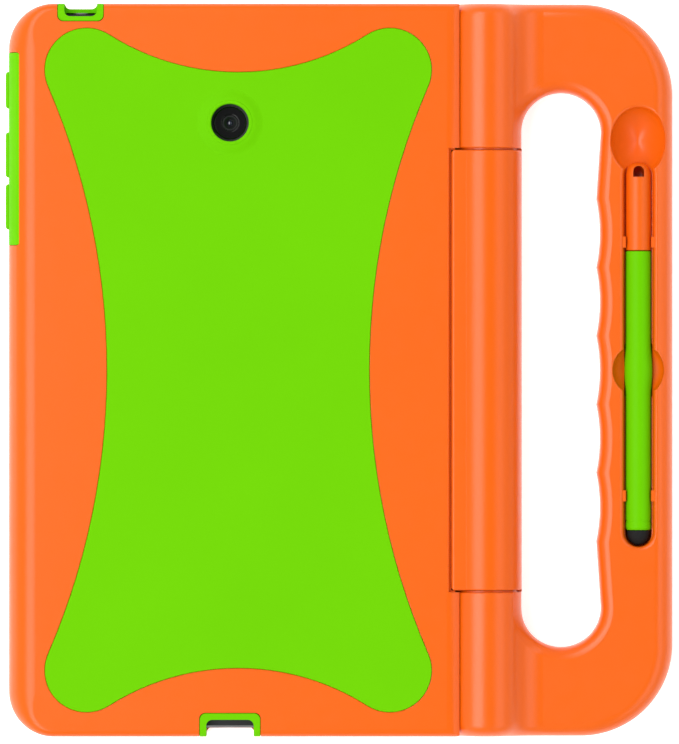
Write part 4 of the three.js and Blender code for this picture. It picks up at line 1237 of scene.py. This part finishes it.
class TABLETCASE_OT_stylus(bpy.types.Operator):
    """Model the stylus: cap, barrel and rubber tip"""

    bl_idname = "tablet_case.stylus"
    bl_label = "Stylus"

    def execute(self, context):
        sizes = context.scene.stylus_sizes
        colours = context.scene.finishes
        orange = plastic("Orange stylus cap", colours.orange, roughness=0.36,
                         Specular_IOR_Level=0.3)
        green = plastic("Green stylus barrel", colours.stylus_green, roughness=0.4,
                        Specular_IOR_Level=0.04)
        rubber = plastic("Black stylus rubber", colours.rubber, roughness=0.8, variation=0.08,
                         Specular_IOR_Level=0.15)
        finished(self.cap(sizes), ["stylus_cap"], "handle", orange)
        finished(self.barrel(sizes), ["stylus_barrel"], "handle", green)
        finished(self.tip(), ["stylus_tip"], "handle", rubber)
        return {"FINISHED"}

    def cap(self, sizes):
        """The round-ended cap with its eye."""
        edge = STYLUS_EDGE
        profile = arc(STYLUS_RADIUS - edge, CAP_LOW.y + edge, edge, -90, 0, steps=4)
        profile += [(STYLUS_RADIUS * c ** DOME_FULLNESS, CAP_HIGH.y - STYLUS_RADIUS * (1 - s))
                    for c, s in turns(0, STYLUS_DOME, steps=16)]
        cap = turned_along("stylus_cap_form", profile, STYLUS_X, STYLUS_Z)
        eye, y = sizes.eye / MM, CAP_HIGH.y - EYE_INSET
        outline = arc(STYLUS_X, y, eye, 0, 180, steps=16)
        outline += [(STYLUS_X - eye, y - eye), (STYLUS_X + eye, y - eye)]
        return cut(cap, slab("eye", outline, 0, ABOVE))

    def barrel(self, sizes, steps=12):
        """The green barrel, swelling a little at the middle, with a ring near the tip."""
        ring, bulge = sizes.ring / MM, sizes.bulge / MM
        profile = [(STYLUS_RADIUS + r, BARREL_LOW.y + y) for r, y in BARREL_FOOT]
        for i in range(-2, 3):
            depth = ring * math.cos(i * math.pi / 5) if abs(i) < 2 else 0
            profile.append((STYLUS_RADIUS - depth, BARREL_LOW.y + RING_INSET + RING_HALF * i / 2))
        for share in [i / steps for i in range(-steps, steps + 1)]:
            swell = bulge * math.cos(share * math.pi / 2) ** 2
            profile.append((STYLUS_RADIUS + swell, share * BULGE_HALF))
        profile += [(STYLUS_RADIUS + r, BARREL_HIGH.y + y) for r, y in BARREL_HEAD]
        return turned_along("stylus_barrel_form", profile, STYLUS_X, STYLUS_Z)

    def tip(self):
        """The rubber dome."""
        radius = (TIP_HIGH.x - TIP_LOW.x) / 2
        collar = TIP_HIGH.y - TIP_COLLAR
        profile = oval(0, collar, radius, collar - TIP_LOW.y, -TIP_DOME, 0, steps=16)
        profile.append((radius, TIP_HIGH.y))
        return turned_along("stylus_tip_form", profile, STYLUS_X, STYLUS_Z)


class TABLETCASE_OT_screws(bpy.types.Operator):
    """Model one screw and copy it to the cover's and the handle's places"""

    bl_idname = "tablet_case.screws"
    bl_label = "Screws"

    def execute(self, context):
        finish = metal()
        for stem, body, length in (("cover_screw", "case", COVER_SCREW),
                                   ("handle_screw", "handle", HANDLE_SCREW)):
            nodes = sorted(name for name in frame["nodes"] if name.startswith(stem))
            first = self.screw(nodes[0], length)
            places = [measured(node) for node in nodes]
            middle = (places[0][0] + places[0][1]) / 2
            for node, (low, high) in zip(nodes[1:], places[1:]):
                move = ((low + high) / 2 - middle) * MM
                copy = copy_of(first, f"{node}_cross",
                               lambda: bpy.ops.transform.translate(value=move))
                finished(copy, [node], body, finish)
            finished(first, [nodes[0]], body, finish)
        return {"FINISHED"}

    def screw(self, node, length):
        """A pan head with a cross recess, on a plain shank."""
        low, high = measured(node)
        x, y, z = (low.x + high.x) / 2, (low.y + high.y) / 2, low.z
        profile = [(radius, z + up) for radius, up in SCREW_HEAD]
        profile += [(SHANK_RADIUS, z + SHANK_START + length), (SHANK_POINT, high.z)]
        body = turned(f"{node}_cross", profile, x, y, 32)
        for dx, dy in ((CROSS_REACH, CROSS_HALF), (CROSS_HALF, CROSS_REACH)):
            cut(body, block("slot", x - dx, x + dx, y - dy, y + dy, z - PAST, z + CROSS_REACH))
        return body


class TABLETCASE_OT_camera(bpy.types.Operator):
    """Model the tablet's camera: window ring, barrel and lens"""

    bl_idname = "tablet_case.camera"
    bl_label = "Tablet camera"

    def execute(self, context):
        glass = plastic("Camera glass", (0.004, 0.004, 0.005, 1), roughness=0.06, variation=0.01,
                        mottle=0.0, Coat_Weight=0.6)
        black = plastic("Black camera barrel", (0.01, 0.01, 0.012, 1), roughness=0.3,
                        variation=0.04)
        eye = plastic("Camera eye", (0.02, 0.016, 0.05, 1), roughness=0.04, variation=0.01,
                      mottle=0.0, Coat_Weight=1.0)
        ring, low, high = self.round_piece("camera_ring", "camera_window", CAMERA_RING)
        hole = circle(0, CAMERA_Y, CAMERA_BORE, sides=60)
        cut(ring, opening("bore", hole, low.z - PAST, high.z, high=BORE_RIM))
        finished(ring, ["camera_window"], "case", glass)

        barrel, low, high = self.round_piece("camera_tube", "camera_barrel", CAMERA_TUBE)
        funnel = [(radius, high.z + z) for radius, z in CAMERA_FUNNEL]
        funnel = [(funnel[0][0], low.z + FUNNEL_SEAT), *funnel, (funnel[-1][0], ABOVE)]
        cut(barrel, turned("funnel", funnel, 0, CAMERA_Y))
        finished(barrel, ["camera_barrel"], "case", black)

        low, high = measured("camera_lens")
        radius = (high.x - low.x) / 2
        base = high.z - LENS_RISE
        dome = [(radius, low.z)] + oval(0, base, radius, LENS_RISE, 0, LENS_DOME, steps=8)
        lens = turned("camera_eye", dome, 0, CAMERA_Y, 48)
        finished(lens, ["camera_lens"], "case", eye)
        return {"FINISHED"}

    def round_piece(self, name, node, edge):
        """A round piece in its CAD node's place with the given upper edge, and its corners."""
        low, high = measured(node)
        radius = (high.x - low.x) / 2
        profile = [(radius, low.z)] + [(radius + out, high.z + z) for out, z in edge]
        return turned(name, profile, 0, CAMERA_Y), low, high


class TABLETCASE_OT_tablet(bpy.types.Operator):
    """Give the tablet's, hinge's and ports' CAD pieces their materials"""

    bl_idname = "tablet_case.tablet"
    bl_label = "Tablet and metal parts"

    def execute(self, context):
        black = plastic("Tablet plastic", context.scene.finishes.tablet, roughness=0.4,
                        variation=0.06)
        glass = plastic("Screen glass", (0.003, 0.003, 0.004, 1), roughness=0.05, mottle=0.0,
                        Coat_Weight=0.5)
        panel = plastic("Unlit display", (0.006, 0.006, 0.007, 1), roughness=0.25, variation=0.03)
        finishes = {
            black: ("tablet_housing", "usb_tongue", "headphone_jack", "power_key",
                    "volume_up_key", "volume_down_key"),
            glass: ("tablet_glass",),
            panel: ("display_panel",),
            metal(): ("usb_shell", "hinge_shaft_top", "hinge_shaft_bottom",
                      "friction_clip_top", "friction_clip_bottom"),
        }
        for finish, nodes in finishes.items():
            for node in nodes:
                for slot in frame["nodes"][node].material_slots:
                    slot.material = finish
        return {"FINISHED"}


class TABLETCASE_OT_stage(bpy.types.Operator):
    """Set the floor, the lights and the camera"""

    bl_idname = "tablet_case.stage"
    bl_label = "Studio"

    def execute(self, context):
        start()
        bpy.ops.mesh.primitive_plane_add(size=FLOOR_SIZE, location=(0, 0, -FLOOR_DROP))
        floor = context.object
        floor.name = "floor"
        bpy.ops.object.transform_apply(location=True)
        floor.data.materials.append(
            plastic("Pale floor", context.scene.finishes.floor, roughness=0.8, variation=0.03,
                    mottle=0.002, grain=0.0, Emission_Color=(1, 1, 1, 1),
                    Emission_Strength=FLOOR_GLOW)
        )
        for light in LIGHTS:
            self.light(*light)
        world = bpy.data.worlds.new("pale studio")
        world.use_nodes = True
        tree = world.node_tree
        sky = tree.nodes["Background"]
        sky.inputs["Color"].default_value = (1, 1, 1, 1)
        where = tree.nodes.new("ShaderNodeTexCoord").outputs["Generated"]
        height = wired(tree, "ShaderNodeSeparateXYZ", Vector=where).outputs["Z"]
        feed(tree, sky.inputs["Strength"], ranged(tree, height, 0.0, 1.0, SKY_LOW, SKY_HIGH))
        context.scene.world = world
        context.scene.view_settings.view_transform = "Standard"
        self.camera()
        return {"FINISHED"}

    def light(self, name, at, width, power):
        """A softbox that faces the case's middle, its length along the hinge."""
        bpy.ops.object.light_add(type="AREA", location=at)
        lamp = bpy.context.object
        lamp.name = name
        lamp.data.shape = "RECTANGLE"
        lamp.data.size = LIGHT_LENGTH
        lamp.data.size_y = width
        lamp.data.energy = power
        lamp.rotation_euler = (-Vector(at)).to_track_quat("-Z", "Y").to_euler()

    def camera(self):
        """A long lens straight above the case's back."""
        bpy.ops.object.camera_add(location=(*CAMERA_SHIFT, CASE_BACK * MM + CAMERA_DISTANCE))
        view = bpy.context.object
        view.name = "camera above"
        view.data.sensor_fit = "VERTICAL"
        view.data.sensor_height = SENSOR_HEIGHT
        view.data.lens = SENSOR_HEIGHT * CAMERA_DISTANCE / VIEW_HEIGHT
        bpy.context.scene.camera = view


OPERATORS = (
    TABLETCASE_OT_shell,
    TABLETCASE_OT_bezel,
    TABLETCASE_OT_liner,
    TABLETCASE_OT_pads,
    TABLETCASE_OT_hinge_cover,
    TABLETCASE_OT_handle,
    TABLETCASE_OT_stylus,
    TABLETCASE_OT_screws,
    TABLETCASE_OT_camera,
    TABLETCASE_OT_tablet,
    TABLETCASE_OT_stage,
)


class TABLETCASE_PT_panel(bpy.types.Panel):
    """Sidebar panel with the case's sizes, finishes and pieces"""

    bl_label = "Tablet Case"
    bl_idname = "TABLETCASE_PT_panel"
    bl_space_type = "VIEW_3D"
    bl_region_type = "UI"
    bl_category = "Tablet Case"

    def draw(self, context):
        for group in (context.scene.case_sizes, context.scene.handle_sizes,
                      context.scene.stylus_sizes, context.scene.finishes):
            box = self.layout.box()
            for name in group.bl_rna.properties.keys():
                if name not in ("rna_type", "name"):
                    box.prop(group, name)
        column = self.layout.column()
        for operator in OPERATORS:
            column.operator(operator.bl_idname)


GROUPS = {"case_sizes": CaseSizes, "handle_sizes": HandleSizes,
          "stylus_sizes": StylusSizes, "finishes": Finishes}


def register():
    for group in GROUPS.values():
        bpy.utils.register_class(group)
    for operator in OPERATORS:
        bpy.utils.register_class(operator)
    bpy.utils.register_class(TABLETCASE_PT_panel)
    for name, group in GROUPS.items():
        setattr(bpy.types.Scene, name, PointerProperty(type=group))


def unregister():
    for name in GROUPS:
        delattr(bpy.types.Scene, name)
    bpy.utils.unregister_class(TABLETCASE_PT_panel)
    for operator in reversed(OPERATORS):
        bpy.utils.unregister_class(operator)
    for group in reversed(GROUPS.values()):
        bpy.utils.unregister_class(group)


def main():
    """Build the pieces in order."""
    register()
    bpy.ops.tablet_case.stage()
    bpy.ops.tablet_case.shell()
    bpy.ops.tablet_case.bezel()
    bpy.ops.tablet_case.liner()
    bpy.ops.tablet_case.pads()
    bpy.ops.tablet_case.hinge_cover()
    bpy.ops.tablet_case.handle()
    bpy.ops.tablet_case.stylus()
    bpy.ops.tablet_case.screws()
    bpy.ops.tablet_case.camera()
    bpy.ops.tablet_case.tablet()


if __name__ == "__main__":
    main()
